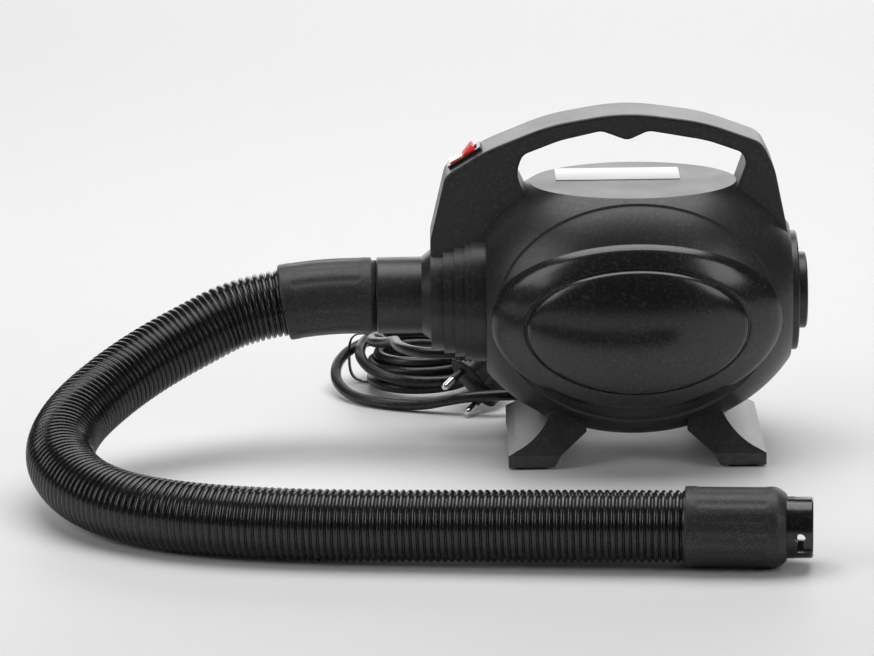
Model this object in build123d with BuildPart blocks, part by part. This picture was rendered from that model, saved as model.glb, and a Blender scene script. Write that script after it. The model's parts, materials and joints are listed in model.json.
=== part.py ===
from build123d import *
import os
from math import acos, atan2, cos, degrees, pi, radians, sin, sqrt, tan

# Electric air mattress pump: an ellipsoidal clamshell housing on two saddle
# stands, with a loop handle and rocker switch on top, a universal motor and fan
# inside, an outlet tube with a corrugated hose, an intake port at the other end
# and a mains lead lying in a loose bundle.
# +X runs from the outlet to the intake, +Y is the back, +Z is up, z = 0 is the floor.
# All sizes are millimetres.

os.makedirs("parts", exist_ok=True)

# ---------------------------------------------------------------- fits and walls
wall = 2.5                 # moulded housing wall
slip = 0.05                # radial clearance of parts that plug together
free = 0.3                 # gap beside a part that moves past another
run_fit = 0.03             # radial clearance of a shaft in its bearing
air_gap = 0.5              # radial gap between rotor and field poles

# ---------------------------------------------------------------- housing
axis_z = 86.0              # height of the air axis above the floor
body_a = 97.0              # half length of the housing ellipse
body_r = 77.5              # radius of the housing ellipse at its middle
side_step = 1.2            # the sides lie this far inside the central band
band_half = 48.0           # half width of the central band
plateau_h = 63.0           # flat top of the housing above the axis
body_left = 80.9           # where the ellipse ends at the collar
body_right = 85.3          # where the ellipse ends at the intake face

collar_faces = (89.3, 92.5, 98.1, 104.2, 111.1)     # distance of each collar step
collar_rises = (16.0, 15.0, 13.3, 11.3, 9.0)        # how far each step stands out past the tube

# ---------------------------------------------------------------- outlet and intake
tube_reach = 140.8         # outlet tube mouth from the housing middle
tube_r = 21.0
tube_wall = 2.5
tube_flange = 4.9          # the flange stands out this far past the tube
tube_flange_t = 4.0
tube_flare = 4.0
tube_flare_len = 5.0
seal_t = 3.0
collar_lip = 6.0           # collar wall in front of the tube flange
port_reach = 94.6          # intake port mouth from the housing middle
port_r = 21.0
port_wall = 2.5
seat_step = 0.8            # a tube is this much thicker where it sits inside another piece
seat_show = 0.3            # that thicker part shows this far outside
mouth_chamfer = 0.8
port_flange_out = 3.0
port_flange_t = 2.0
ring_r = 32.8              # intake flange ring
ring_t = 4.1
ring_screw_r = 28.5
ring_screw_count = 4
ring_head_r = 2.6
ring_head_seat = 1.6       # depth of the head recess in the ring
ring_head_t = 1.4
grille_t = 2.0
grille_slots = 5
grille_slot = (26.0, 3.4)
grille_pitch = 5.6

cx = (tube_reach - port_reach) / 2      # housing middle, so that the pump is centred on X
collar_radii = [tube_r + rise for rise in collar_rises]
tube_flange_r = tube_r + tube_flange
tube_flare_r = tube_r + tube_flare

# ---------------------------------------------------------------- handle
handle_w = 33.0
handle_edge = 1.5
handle_outline = [(-collar_faces[-1], 104.0), (-collar_faces[-1], 120.0), (-102.4, 156.3), (-80.9, 169.5),
                  (-46.0, 183.4), (-5.0, 190.2), (38.0, 184.2), (69.5, 172.5), (76.5, 158.0), (85.0, 116.0),
                  (85.0, 96.0)]
handle_caps = (4, 12, 9, 90, 110, 110, 110, 12, 40, 20, 4)
grip_outline = [(-54.5, 136.0), (-64.1, 156.0), (-60.5, 167.0), (-40.0, 174.8), (-17.5, 179.8),
                (-3.3, 174.4), (8.0, 179.6), (40.0, 173.8), (62.5, 165.6), (52.0, 136.0)]
grip_caps = (4, 14, 7, 60, 9, 7, 9, 70, 7, 4)

# ---------------------------------------------------------------- side covers
cover_drop = 4.8           # oval centre below the axis
cover_half = (81.5, 47.5)
dome_half = (60.0, 35.0)
cover_t = 2.4
dome_t = 2.2
cover_inner = 38.0         # the cover's ends stop this far from the joint plane

# ---------------------------------------------------------------- label
label_size = (68.0, 29.0)
label_at = (-8.0, 15.2)
label_t = 0.3
label_corner = 1.5

# ---------------------------------------------------------------- stands
foot_out = 70.0            # outer end of a foot from the housing middle
foot_in = 45.0
foot_y = 52.5              # half of the front-to-back stance
foot_h = 10.0
leg_top_y = 39.0
stand_wall = 3.0
pad_t = 2.5
pad_sink = 1.0
pad_len = 17.0
pad_wide = 11.0
pad_corner = 2.0
pad_edge = 0.5
stand_screw_x = 38.0
stand_screw_y = 30.0
stand_screw_seat = 16.0    # height of the head's seat above the floor
stand_screw_len = 17.0
stand_post_top = 36.0      # top of the housing's posts for the stand screws
stand_land = 4.0           # solid depth of a stand under the housing skin
stand_top = 60.0           # above the housing skin, where the stand blank ends
arch_low = 36.0            # half width of the arch between the feet at the floor
arch_high = 31.0
arch_top = 8.0

# ---------------------------------------------------------------- screws
screw_r = 1.75
screw_head_r = 3.4
screw_head_t = 2.4
boss_r = 5.5
shell_screw_seat = 14.0    # head seat behind the joint plane
shell_screw_len = 26.0
shell_bosses = [(-60.0, 126.0), (38.0, 139.0), (-22.0, 29.0), (22.0, 29.0)]
handle_bosses = [(-88.0, 138.0), (73.0, 140.0)]
handle_boss_r = 4.2
handle_screw_seat = 8.0
handle_screw_len = 18.0
screw_tip = 1.0            # a hole is this much deeper than its screw

# ---------------------------------------------------------------- motor and fan
shaft_r = 4.0
bearing_r = 11.0
bearing_t = 7.0
core_r = 34.0
core_bore = 22.4
core_x = (-2.0, 30.0)
pole_half_deg = 50.0
yoke_r = 28.0
coil_over = 6.5
armature_slots = 12
commutator_r = 12.0
commutator_x = (-26.0, -13.0)
commutator_bars = 24
bracket_wall = 2.5
bracket_front_x = -42.0
bracket_rear_x = 50.0
bracket_lap = 8.0          # length by which a bracket grips the core
bearing_hub = 2.5          # wall round the bearing pocket
bearing_step = 2.0         # plate thickness behind a bearing
motor_screw_r = 30.8
motor_screw_head = 2.8
motor_head_rear = 1.6
plate_t = 3.0
window_r = 6.5
window_ring = 23.5
window_count = 6
mount_t = 4.5
mount_len = 7.0
mount_front_x = -36.0
mount_rear_x = 38.0
mount_ring = 4.0
mount_spokes = 6
spoke_wide = 3.0
brush_side = 6.0
brush_len = 14.0
brush_gap = 0.3            # brush face to commutator
holder_wall = 1.5
holder_start = 3.0
armature_slot = (7.0, 2.4)
commutator_cut = (1.6, 0.5)
fan_r = 43.0
fan_x = (57.0, 68.0)
fan_blades = 9
fan_gap = 1.6
diffuser_t = 2.0
shroud_t = 2.0
eye_r = 19.0
eye_collar_t = 1.8
eye_collar_len = 6.0
fan_disc_t = 1.6
fan_cover_t = 1.2
fan_hub_r = 9.0
fan_hub_len = 7.0
blade_t = 1.4
nut_r = 6.5
nut_t = 4.5
ledge_t = 3.0              # ledges in the shells that hold the fan plates
ledge_deep = 9.0
diffuser_slot = (12.0, 5.0)
diffuser_slots = 12

# ---------------------------------------------------------------- switch
bezel_len = 21.0
bezel_wide = 15.0
bezel_t = 2.0
switch_len = 18.8
switch_wide = 12.9
switch_deep = 15.0
rocker_len = 15.6
rocker_wide = 9.6
rocker_tilt = 9.0          # degrees each side of level
rocker_pin_r = 1.2
rocker_pin_drop = 1.5      # pin axis below the bezel's seat
rocker_gap = 0.7           # gap at each end of the rocker
bezel_corner = 1.2
pin_bearing = 1.2          # length of the pin's seat in the frame
terminal = (0.8, 4.8, 7.0)
terminal_x = 4.0

# ---------------------------------------------------------------- mains lead
lead_r = 3.1
gland_y = 32.0
gland_z = 44.0
gland_boss_r = 8.5
gland_face = 77.5
gland_len = 20.5
clamp_face = 54.0
clamp_t = 4.0
clamp_hole = 5.6
clamp_size = (16.0, 8.0, 2.0)
clamp_screw_r = 1.3
clamp_head_r = 2.2
clamp_head_t = 1.6
gland_bush = 1.5           # rubber wall round the lead inside the housing
gland_rim_r = 7.0
gland_rim_t = 2.5
gland_root_r = 5.4
gland_tip = 1.1            # rubber wall at the strain relief's tip
wire_r = 1.0
capacitor_size = (18.0, 8.0, 10.0)
capacitor_at = (8.0, -24.0)
coil_centre = (-116.0, 127.0)
coil_mean_r = 31.0
coil_wide = 17.0
coil_floor = 1.3
coil_top = 25.0
tie_deg = 165.0
tie_wide = 5.0
tie_t = 1.2
tie_slack = 0.8
coil_corner = 5.0
plug_face = Vector(-88.5, 72.2, 15.4)
plug_point = Vector(-0.5215, -0.8023, -0.2908).normalized()
plug_across = Vector(0.657, -0.160, -0.737)
plug_len = 36.0
plug_wide = 35.4
plug_thick = 13.8
pin_r = 2.0
pin_len = 19.0
pin_sleeve = 10.0
pin_pitch = 19.0
plug_tail = 16.0
plug_back = (16.0, 12.0)
plug_neck_r = 5.6
plug_straight = 0.55       # share of the plug's length before it narrows
plug_lap = 3.0             # the lead goes this far into the tail
pin_root = 8.0             # pin length inside the plug
sleeve_t = 0.3
pin_tip = 0.8

# Routes of the lead, as points from the housing middle.
lead_route = [(-98, 32, 44), (-110, 32, 44), (-122, 39.5, 43.5), (-129.5, 54, 42.5), (-132, 73, 40.5),
              (-131.5, 92, 36), (-138, 107, 31), (-145.2, 119, 28.3)]
loop_route = [(-139.5, 157, 21), (-153, 149, 20), (-165.5, 133, 15), (-167.5, 112, 8), (-158, 92, 3.6),
              (-140, 77, 3.3), (-117, 69, 3.9), (-100, 64.5, 8.5), (-84, 60, 11.6), (-66, 60.5, 11.5),
              (-52, 73, 8), (-44, 94, 3.5), (-43, 119, 3.3), (-54, 143, 3.3), (-73, 160, 4.5), (-95, 166, 5.5)]
tail_route = [(-61.2, 114.2, 30.1), (-53.5, 127, 34), (-50, 142, 36), (-56, 159, 36.5), (-74, 170, 33),
              (-97, 166, 28.3)]

# ---------------------------------------------------------------- hose
hose_r = 18.5
hose_wall = 1.8
cuff_over = 0.0            # the cuff stands out this far past the outlet tube
cuff_len = 48.3
cuff_straight = 10.0
cuff_droop = 10.0          # degrees that the soft cuff sags towards the hose
spigot_len = 21.0
cuff_gap = 2.8             # ring gap between the tube mouth and the cuff
end_cuff_r = 20.6
end_cuff_len = 46.0
end_cone_len = 5.5
bayonet_r = 15.8
bayonet_wall = 2.2
bayonet_len = 13.5
bayonet_slot = 5.0
bayonet_band = 4.0         # plain band of the nozzle next to the end cuff
bayonet_relief = 0.2       # the slotted mouth is this much smaller than the band
cuff_lip = 1.6             # the lip in the ring gap is this much inside the cuff's skin
spigot_wall = 2.0
spigot_root = 3.0
end_cuff_edge = 0.6
nozzle_deep = 12.0         # the nozzle goes this far into the end cuff
hose_route = [(-215, -1, 79.2), (-240, -11, 68.6), (-265, -26, 58.3), (-287, -47, 47.6), (-305, -75, 37),
              (-311, -107, 28), (-301, -139, 21.8), (-281, -167, 18.9), (-253, -189, 18.6), (-217, -203, 18.6),
              (-168, -212.5, 18.6), (-108, -218.5, 19.2)]
hose_end = Vector(16.5, -230.5, 20.7)
hose_way = Vector(1, -0.075, 0).normalized()
hose_last_run = 50.0


# ================================================================ helpers
def turn_deg(before, at, after):
    """Angle by which a route turns at a point."""
    return (Vector(*at) - Vector(*before)).get_angle(Vector(*after) - Vector(*at))


def corner_radius(before, at, after):
    """Largest tangent arc at a point that leaves a tenth of the shorter run straight."""
    run = min((Vector(*at) - Vector(*before)).length, (Vector(*after) - Vector(*at)).length)
    return 0.45 * run / tan(radians(turn_deg(before, at, after) / 2))


def route_radii(points):
    """Arc radii at the inner points of an open route."""
    return [corner_radius(*points[i - 1:i + 2]) for i in range(1, len(points) - 1)]


def outline_radii(points, caps):
    """Corner radii of a closed outline, each no larger than its cap."""
    count = len(points)
    return [min(caps[i], corner_radius(points[i - 1], points[i], points[(i + 1) % count]))
            for i in range(count)]


def from_middle(points):
    """Points given from the housing middle, moved into the pump's frame."""
    return [(x + cx, y, z) for x, y, z in points]


def ellipse_r(x, half_len, half_high):
    """Radius of an ellipse of revolution at a distance from its middle."""
    return half_high * sqrt(1 - (x / half_len) ** 2)


def end_plane(x, y=0.0, z=axis_z):
    """Plane square to the air axis, facing +X, at a distance from the housing middle."""
    return Plane(origin=(cx + x, y, z), x_dir=(0, 1, 0), z_dir=(1, 0, 0))


def save(sub_part, name):
    """Label a finished piece and write it."""
    sub_part.part.label = name
    export_step(sub_part.part, f"parts/{name}.step")


air_axis = Axis((cx, 0, axis_z), (1, 0, 0))
front_view = Plane(origin=(cx, 0, 0), x_dir=(1, 0, 0), z_dir=(0, -1, 0))
axis_view = Plane(origin=(cx, 0, axis_z), x_dir=(1, 0, 0), z_dir=(0, -1, 0))
cavity_a = body_a - side_step - wall
cavity_r = body_r - side_step - wall
collar_end = collar_faces[-1]
flange_face = collar_end - collar_lip
seal_face = flange_face - tube_flange_t
pocket_end = seal_face - seal_t
diffuser_x = fan_x[0] - fan_gap - diffuser_t
shroud_x = fan_x[1] + fan_gap
ring_face = body_right + ring_t
port_seat_r = port_r + seat_step
bayonet_seat_r = bayonet_r + seat_step
cuff_r = tube_r + cuff_over
bracket_r = core_r + bracket_wall
bush_r = lead_r + gland_bush


def egg_profile(half_len, half_high, left, right):
    """Half outline of the housing ellipse between its two ends, closed along the axis."""
    with BuildSketch(Plane.XY, mode=Mode.PRIVATE) as egg:
        with BuildLine():
            start = degrees(acos(right / half_len))
            EllipticalCenterArc((0, 0), half_len, half_high, start_angle=start,
                                arc_size=degrees(acos(-left / half_len)) - start)
            Polyline((-left, ellipse_r(left, half_len, half_high)), (-left, 0), (right, 0),
                     (right, ellipse_r(right, half_len, half_high)))
        make_face()
    return egg.sketch


def skin_profile(extra=0.0, ends=0.0):
    """Half outline of the housing's sides, enlarged all round, with its ends moved out."""
    return egg_profile(body_a - side_step + extra, body_r - side_step + extra,
                       body_left + ends, body_right + ends)


# ================================================================ housing envelope
with BuildPart() as central_band:
    with BuildSketch(axis_view):
        add(egg_profile(body_a, body_r, body_left, body_right))
    revolve(axis=air_axis)
    with BuildSketch(Plane.XY):
        with Locations((cx, 0)):
            Rectangle(2 * body_a, 2 * band_half)
    extrude(amount=axis_z + plateau_h, mode=Mode.INTERSECT)

with BuildPart() as handle_blank:
    with BuildSketch(front_view) as handle_face:
        with BuildLine():
            FilletPolyline(*handle_outline, radius=outline_radii(handle_outline, handle_caps), close=True)
        make_face()
        with BuildLine():
            FilletPolyline(*grip_outline, radius=outline_radii(grip_outline, grip_caps), close=True)
        make_face(mode=Mode.SUBTRACT)
    extrude(amount=handle_w / 2, both=True)
    fillet(handle_blank.faces().filter_by(Axis.Y).edges(), radius=handle_edge)

with BuildPart() as cavity:
    with BuildSketch(axis_view):
        add(egg_profile(cavity_a, cavity_r, body_left, body_right - wall))
    revolve(axis=air_axis)
    with BuildSketch(Plane.XY.offset(axis_z + plateau_h - wall)):
        with Locations((cx, 0)):
            Rectangle(2 * body_a, 2 * body_r)
    extrude(amount=body_r, mode=Mode.SUBTRACT)
    with BuildSketch(front_view):
        add(handle_face.sketch_local)
        offset(amount=-wall, mode=Mode.REPLACE)
    extrude(amount=handle_w / 2 - wall, both=True)
    # the handle's channel ends above the collar and inside the intake face
    with BuildSketch(end_plane(-body_left - 40)):
        Rectangle(handle_w, 2 * (collar_radii[0] + wall))
    extrude(amount=40, mode=Mode.SUBTRACT)
    with BuildSketch(end_plane(-flange_face)):
        Circle(tube_flange_r + slip)
    extrude(amount=flange_face - pocket_end)
    with BuildSketch(end_plane(-pocket_end)):
        Circle(tube_r - tube_wall)
    extrude(amount=pocket_end - body_left + 1)
    # posts for the shell screws
    with BuildSketch(front_view):
        with Locations(shell_bosses):
            Circle(boss_r)
    extrude(amount=body_r, both=True, mode=Mode.SUBTRACT)
    with BuildSketch(front_view):
        with Locations(handle_bosses):
            Circle(handle_boss_r)
    extrude(amount=body_r, both=True, mode=Mode.SUBTRACT)
    # the wall thickened behind the gland, and posts for the stand screws
    with BuildSketch(end_plane(-gland_face, gland_y, gland_z)):
        Circle(gland_boss_r)
    extrude(amount=gland_face - clamp_face, mode=Mode.SUBTRACT)
    with BuildSketch(Plane.XY):
        with Locations((cx, 0)):
            with GridLocations(2 * stand_screw_x, 2 * stand_screw_y, 2, 2):
                Circle(boss_r)
    extrude(amount=stand_post_top, mode=Mode.SUBTRACT)
    # rings and spokes that hold the motor's rubber mounts
    for mount_x in (mount_front_x, mount_rear_x):
        with BuildSketch(end_plane(mount_x)):
            Circle(core_r + bracket_wall + mount_t + mount_ring)
            with PolarLocations(0, mount_spokes, start_angle=30):
                with Locations((body_r / 2, 0)):
                    Rectangle(body_r, spoke_wide)
            Circle(core_r + bracket_wall + mount_t, mode=Mode.SUBTRACT)
        extrude(amount=mount_len, mode=Mode.SUBTRACT)
    # ledges that hold the fan plates
    with BuildSketch(end_plane(diffuser_x - ledge_t)):
        Circle(body_r)
        Circle(fan_r + ledge_deep, mode=Mode.SUBTRACT)
    extrude(amount=ledge_t, mode=Mode.SUBTRACT)
    with BuildSketch(end_plane(shroud_x + shroud_t)):
        Circle(body_r)
        Circle(fan_r - ledge_t, mode=Mode.SUBTRACT)
    extrude(amount=ledge_t, mode=Mode.SUBTRACT)

slope_low = handle_outline[2]
slope_high = handle_outline[3]
slope_deg = degrees(atan2(slope_high[1] - slope_low[1], slope_high[0] - slope_low[0]))
switch_plane = Plane(
    origin=(cx + (slope_low[0] + slope_high[0]) / 2 + 0.4, 0, (slope_low[1] + slope_high[1]) / 2 + 0.25),
    x_dir=(cos(radians(slope_deg)), 0, sin(radians(slope_deg))),
    z_dir=(-sin(radians(slope_deg)), 0, cos(radians(slope_deg))),
)

with BuildPart() as housing:
    with BuildSketch(axis_view):
        add(skin_profile())
    revolve(axis=air_axis)
    with BuildSketch(Plane.XY.offset(axis_z + plateau_h)):
        with Locations((cx, 0)):
            Rectangle(2 * body_a, 2 * body_r)
    extrude(amount=body_r, mode=Mode.SUBTRACT)
    add(central_band.part)
    near = body_left
    for face_x, ring in zip(collar_faces, collar_radii):
        with BuildSketch(end_plane(-face_x)):
            Circle(ring)
        extrude(amount=face_x - near + 1)
        near = face_x
    add(handle_blank.part)
    with BuildSketch(end_plane(-gland_face, gland_y, gland_z)):
        Circle(gland_boss_r)
    extrude(amount=gland_face - clamp_face)
    add(cavity.part, mode=Mode.SUBTRACT)
    # outlet bore and intake bore
    with BuildSketch(end_plane(-collar_end)):
        Circle(tube_r + slip)
    extrude(amount=collar_lip + 1, mode=Mode.SUBTRACT)
    with BuildSketch(end_plane(body_right - wall - 1)):
        Circle(port_seat_r + slip)
    extrude(amount=wall + 2, mode=Mode.SUBTRACT)
    # intake flange screws
    with BuildSketch(end_plane(body_right - wall - 1)):
        with PolarLocations(ring_screw_r, ring_screw_count, start_angle=45):
            Circle(screw_r)
    extrude(amount=wall + 2, mode=Mode.SUBTRACT)
    # shell screws: head wells from the back, then the shank hole
    for places, seat, length in ((shell_bosses, shell_screw_seat, shell_screw_len),
                                 (handle_bosses, handle_screw_seat, handle_screw_len)):
        with BuildSketch(front_view.offset(-seat)):
            with Locations(places):
                Circle(screw_head_r + slip)
        extrude(amount=-body_r, mode=Mode.SUBTRACT)
        with BuildSketch(front_view.offset(-seat)):
            with Locations(places):
                Circle(screw_r)
        extrude(amount=length, mode=Mode.SUBTRACT)
    # stand screws
    with BuildSketch(Plane.XY):
        with Locations((cx, 0)):
            with GridLocations(2 * stand_screw_x, 2 * stand_screw_y, 2, 2):
                Circle(screw_r)
    extrude(amount=stand_screw_seat + stand_screw_len + screw_tip, mode=Mode.SUBTRACT)
    # lead hole and switch hole
    with BuildSketch(end_plane(-gland_face, gland_y, gland_z)):
        Circle(bush_r)
    extrude(amount=gland_face - clamp_face + 1, mode=Mode.SUBTRACT)
    with BuildSketch(switch_plane):
        Rectangle(switch_len + 2 * slip, switch_wide + 2 * slip)
    extrude(amount=-wall - 3, mode=Mode.SUBTRACT)

with BuildPart() as shell_front:
    add(housing.part)
    split(bisect_by=front_view, keep=Keep.TOP)
save(shell_front, "shell_front")

with BuildPart() as shell_back:
    add(housing.part)
    split(bisect_by=front_view, keep=Keep.BOTTOM)
save(shell_back, "shell_back")

# ================================================================ side covers
cover_plane = Plane(origin=(cx, 0, axis_z - cover_drop), x_dir=(1, 0, 0), z_dir=(0, -1, 0))


def cover_layer(halves, thickness):
    """Slice of an enlarged housing ellipse inside an oval, on the front side."""
    with BuildPart(mode=Mode.PRIVATE) as layer:
        with BuildSketch(axis_view):
            add(skin_profile(thickness, thickness))
        revolve(axis=air_axis)
        with BuildSketch(cover_plane):
            Ellipse(*halves)
        extrude(amount=2 * body_r, mode=Mode.INTERSECT)
    return layer.part


with BuildPart() as side_cover_front:
    add(cover_layer(cover_half, cover_t))
    add(cover_layer(dome_half, cover_t + dome_t))
    with BuildSketch(axis_view):
        add(skin_profile())
    revolve(axis=air_axis, mode=Mode.SUBTRACT)
    add(central_band.part, mode=Mode.SUBTRACT)
    with BuildSketch(Plane.XY):
        with Locations((cx, 0)):
            Rectangle(3 * body_a, 2 * cover_inner)
    extrude(amount=3 * body_r, mode=Mode.SUBTRACT)
save(side_cover_front, "side_cover_front")

with BuildPart() as side_cover_back:
    add(mirror(side_cover_front.part, about=Plane.XZ))
save(side_cover_back, "side_cover_back")


# ================================================================ stands
def stand_outline(inset):
    """Front view of the left stand: an outer concave ridge and an inner leg line."""
    low = pad_t - pad_sink - (0.0 if inset == 0 else 5.0)
    with BuildSketch(Plane.XY, mode=Mode.PRIVATE) as outline:
        with BuildLine():
            Polyline((-30 - inset, 44), (-27.5 - inset, 19.5), (-41.5 - inset, 8), (-foot_in - inset, low),
                     (-foot_out + inset, low), (-foot_out + inset, foot_h - 2 - inset),
                     (-foot_out + 4.5 + inset, foot_h + 0.5 - inset))
            ThreePointArc((-foot_out + 4.5 + inset, foot_h + 0.5 - inset), (-54 + inset, 18.5 - inset),
                          (-45 + inset, 33 - inset))
            Polyline((-45 + inset, 33 - inset), (-45 + inset, 44), (-30 - inset, 44))
        make_face()
    return outline.sketch


def stand_side(inset):
    """End view of a stand: wide feet that draw in towards the housing."""
    with BuildSketch(Plane.XY, mode=Mode.PRIVATE) as outline:
        with BuildLine():
            Polyline((-foot_y + inset, -5), (-foot_y + inset, foot_h - 2), (-leg_top_y + inset, 32),
                     (-leg_top_y + inset, stand_top), (leg_top_y - inset, stand_top), (leg_top_y - inset, 32),
                     (foot_y - inset, foot_h - 2), (foot_y - inset, -5), close=True)
        make_face()
    return outline.sketch


with BuildPart() as stand_left:
    with BuildSketch(front_view):
        add(stand_outline(0))
    extrude(amount=foot_y, both=True)
    with BuildSketch(end_plane(-foot_out - 5, 0, 0)):
        add(stand_side(0))
    extrude(amount=foot_out, mode=Mode.INTERSECT)
    with BuildPart(mode=Mode.PRIVATE) as stand_hollow:
        with BuildSketch(front_view):
            add(stand_outline(stand_wall))
        extrude(amount=foot_y, both=True)
        with BuildSketch(end_plane(-foot_out - 5, 0, 0)):
            add(stand_side(stand_wall))
        extrude(amount=foot_out, mode=Mode.INTERSECT)
        with BuildSketch(axis_view):
            add(skin_profile(stand_land + stand_wall))
        revolve(axis=air_axis, mode=Mode.SUBTRACT)
        with BuildSketch(Plane.XY.offset(-5)):
            with Locations((cx - stand_screw_x, stand_screw_y), (cx - stand_screw_x, -stand_screw_y)):
                Circle(boss_r)
        extrude(amount=stand_top, mode=Mode.SUBTRACT)
        for side in (-1, 1):
            with BuildSketch(Plane.XY.offset(-5)):
                with Locations((cx - (foot_out + foot_in) / 2, side * (foot_y - stand_wall - pad_wide / 2))):
                    Rectangle(pad_len + 4, pad_wide + 2)
            extrude(amount=5 + foot_h - 4, mode=Mode.SUBTRACT)
    add(stand_hollow.part, mode=Mode.SUBTRACT)
    # clear of the housing skin, with an arch between the front and rear foot
    add(central_band.part, mode=Mode.SUBTRACT)
    with BuildSketch(axis_view):
        add(skin_profile())
    revolve(axis=air_axis, mode=Mode.SUBTRACT)
    with BuildSketch(end_plane(-foot_out - 5, 0, 0)):
        with BuildLine():
            Polyline((-arch_low, -1), (-arch_high, arch_top), (arch_high, arch_top), (arch_low, -1), close=True)
        make_face()
    extrude(amount=foot_out, mode=Mode.SUBTRACT)
    # pad recesses, screw wells and screw holes
    for side in (-1, 1):
        with BuildSketch(Plane.XY):
            with Locations((cx - (foot_out + foot_in) / 2, side * (foot_y - stand_wall - pad_wide / 2))):
                RectangleRounded(pad_len, pad_wide, pad_corner)
        extrude(amount=pad_t, mode=Mode.SUBTRACT)
    with BuildSketch(Plane.XY):
        with Locations((cx - stand_screw_x, stand_screw_y), (cx - stand_screw_x, -stand_screw_y)):
            Circle(screw_head_r + slip)
    extrude(amount=stand_screw_seat, mode=Mode.SUBTRACT)
    with BuildSketch(Plane.XY):
        with Locations((cx - stand_screw_x, stand_screw_y), (cx - stand_screw_x, -stand_screw_y)):
            Circle(screw_r)
    extrude(amount=stand_top, mode=Mode.SUBTRACT)
save(stand_left, "stand_left")

with BuildPart() as stand_right:
    add(mirror(stand_left.part, about=Plane.YZ.offset(cx)))
save(stand_right, "stand_right")

with BuildPart() as foot_pads:
    with BuildSketch(Plane.XY):
        with Locations((cx, 0)):
            with GridLocations(foot_out + foot_in, 2 * (foot_y - stand_wall) - pad_wide, 2, 2):
                RectangleRounded(pad_len, pad_wide, pad_corner)
    extrude(amount=pad_t)
    chamfer(foot_pads.faces().sort_by(Axis.Z)[0].edges(), length=pad_edge)
save(foot_pads, "foot_pads")

with BuildPart() as stand_screws:
    with BuildSketch(Plane.XY.offset(stand_screw_seat - screw_head_t)):
        with Locations((cx, 0)):
            with GridLocations(2 * stand_screw_x, 2 * stand_screw_y, 2, 2):
                Circle(screw_head_r)
    extrude(amount=screw_head_t)
    with BuildSketch(Plane.XY.offset(stand_screw_seat)):
        with Locations((cx, 0)):
            with GridLocations(2 * stand_screw_x, 2 * stand_screw_y, 2, 2):
                Circle(screw_r)
    extrude(amount=stand_screw_len)
save(stand_screws, "stand_screws")

with BuildPart() as shell_screws:
    for places, seat, length in ((shell_bosses, shell_screw_seat, shell_screw_len),
                                 (handle_bosses, handle_screw_seat, handle_screw_len)):
        with BuildSketch(front_view.offset(-seat)):
            with Locations(places):
                Circle(screw_r)
        extrude(amount=length - screw_tip)
        with BuildSketch(front_view.offset(-seat)):
            with Locations(places):
                Circle(screw_head_r)
        extrude(amount=-screw_head_t)
save(shell_screws, "shell_screws")

# ================================================================ outlet
with BuildPart() as outlet_tube:
    with BuildSketch(axis_view):
        with BuildLine():
            Polyline((-tube_reach, tube_r - tube_wall), (-tube_reach, tube_r - mouth_chamfer),
                     (-tube_reach + mouth_chamfer, tube_r),
                     (-collar_end - tube_flare_len, tube_r), (-collar_end, tube_flare_r), (-collar_end, tube_r),
                     (-flange_face, tube_r), (-flange_face, tube_flange_r), (-seal_face, tube_flange_r),
                     (-seal_face, tube_r - tube_wall), close=True)
        make_face()
    revolve(axis=air_axis)
save(outlet_tube, "outlet_tube")

with BuildPart() as outlet_seal:
    with BuildSketch(end_plane(-seal_face)):
        Circle(tube_flange_r)
        Circle(tube_r - tube_wall, mode=Mode.SUBTRACT)
    extrude(amount=seal_t)
save(outlet_seal, "outlet_seal")

# ================================================================ intake
with BuildPart() as intake_flange:
    with BuildSketch(end_plane(body_right)):
        Circle(ring_r)
        Circle(port_seat_r + slip, mode=Mode.SUBTRACT)
    extrude(amount=ring_t)
    chamfer(intake_flange.edges().filter_by(GeomType.CIRCLE).group_by(Axis.X)[-1], length=mouth_chamfer)
    with BuildSketch(end_plane(body_right)):
        with PolarLocations(ring_screw_r, ring_screw_count, start_angle=45):
            Circle(screw_r)
    extrude(amount=ring_t, mode=Mode.SUBTRACT)
    with BuildSketch(end_plane(ring_face)):
        with PolarLocations(ring_screw_r, ring_screw_count, start_angle=45):
            Circle(ring_head_r + slip)
    extrude(amount=-ring_head_seat, mode=Mode.SUBTRACT)
save(intake_flange, "intake_flange")

with BuildPart() as intake_port:
    with BuildSketch(axis_view):
        with BuildLine():
            Polyline((body_right - wall - port_flange_t, port_r - port_wall), (port_reach, port_r - port_wall),
                     (port_reach, port_r - mouth_chamfer), (port_reach - mouth_chamfer, port_r),
                     (ring_face + seat_show, port_r), (ring_face + seat_show, port_seat_r),
                     (body_right - wall, port_seat_r), (body_right - wall, port_seat_r + port_flange_out),
                     (body_right - wall - port_flange_t, port_seat_r + port_flange_out), close=True)
        make_face()
    revolve(axis=air_axis)
save(intake_port, "intake_port")

with BuildPart() as intake_grille:
    with BuildSketch(end_plane(body_right)):
        Circle(port_r - port_wall - slip)
        with GridLocations(grille_pitch, 0, grille_slots, 1):
            SlotOverall(*grille_slot, rotation=90, mode=Mode.SUBTRACT)
    extrude(amount=grille_t)
save(intake_grille, "intake_grille")

with BuildPart() as intake_screws:
    with BuildSketch(end_plane(ring_face - ring_head_seat)):
        with PolarLocations(ring_screw_r, ring_screw_count, start_angle=45):
            Circle(ring_head_r)
    extrude(amount=ring_head_t)
    with BuildSketch(end_plane(ring_face - ring_head_seat)):
        with PolarLocations(ring_screw_r, ring_screw_count, start_angle=45):
            Circle(screw_r)
    extrude(amount=-ring_t + ring_head_seat - wall)
save(intake_screws, "intake_screws")

# ================================================================ label
with BuildPart() as rating_label:
    with BuildSketch(Plane.XY.offset(axis_z + plateau_h)):
        with Locations((cx + label_at[0], label_at[1])):
            RectangleRounded(*label_size, label_corner)
    extrude(amount=label_t)
save(rating_label, "rating_label")

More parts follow.
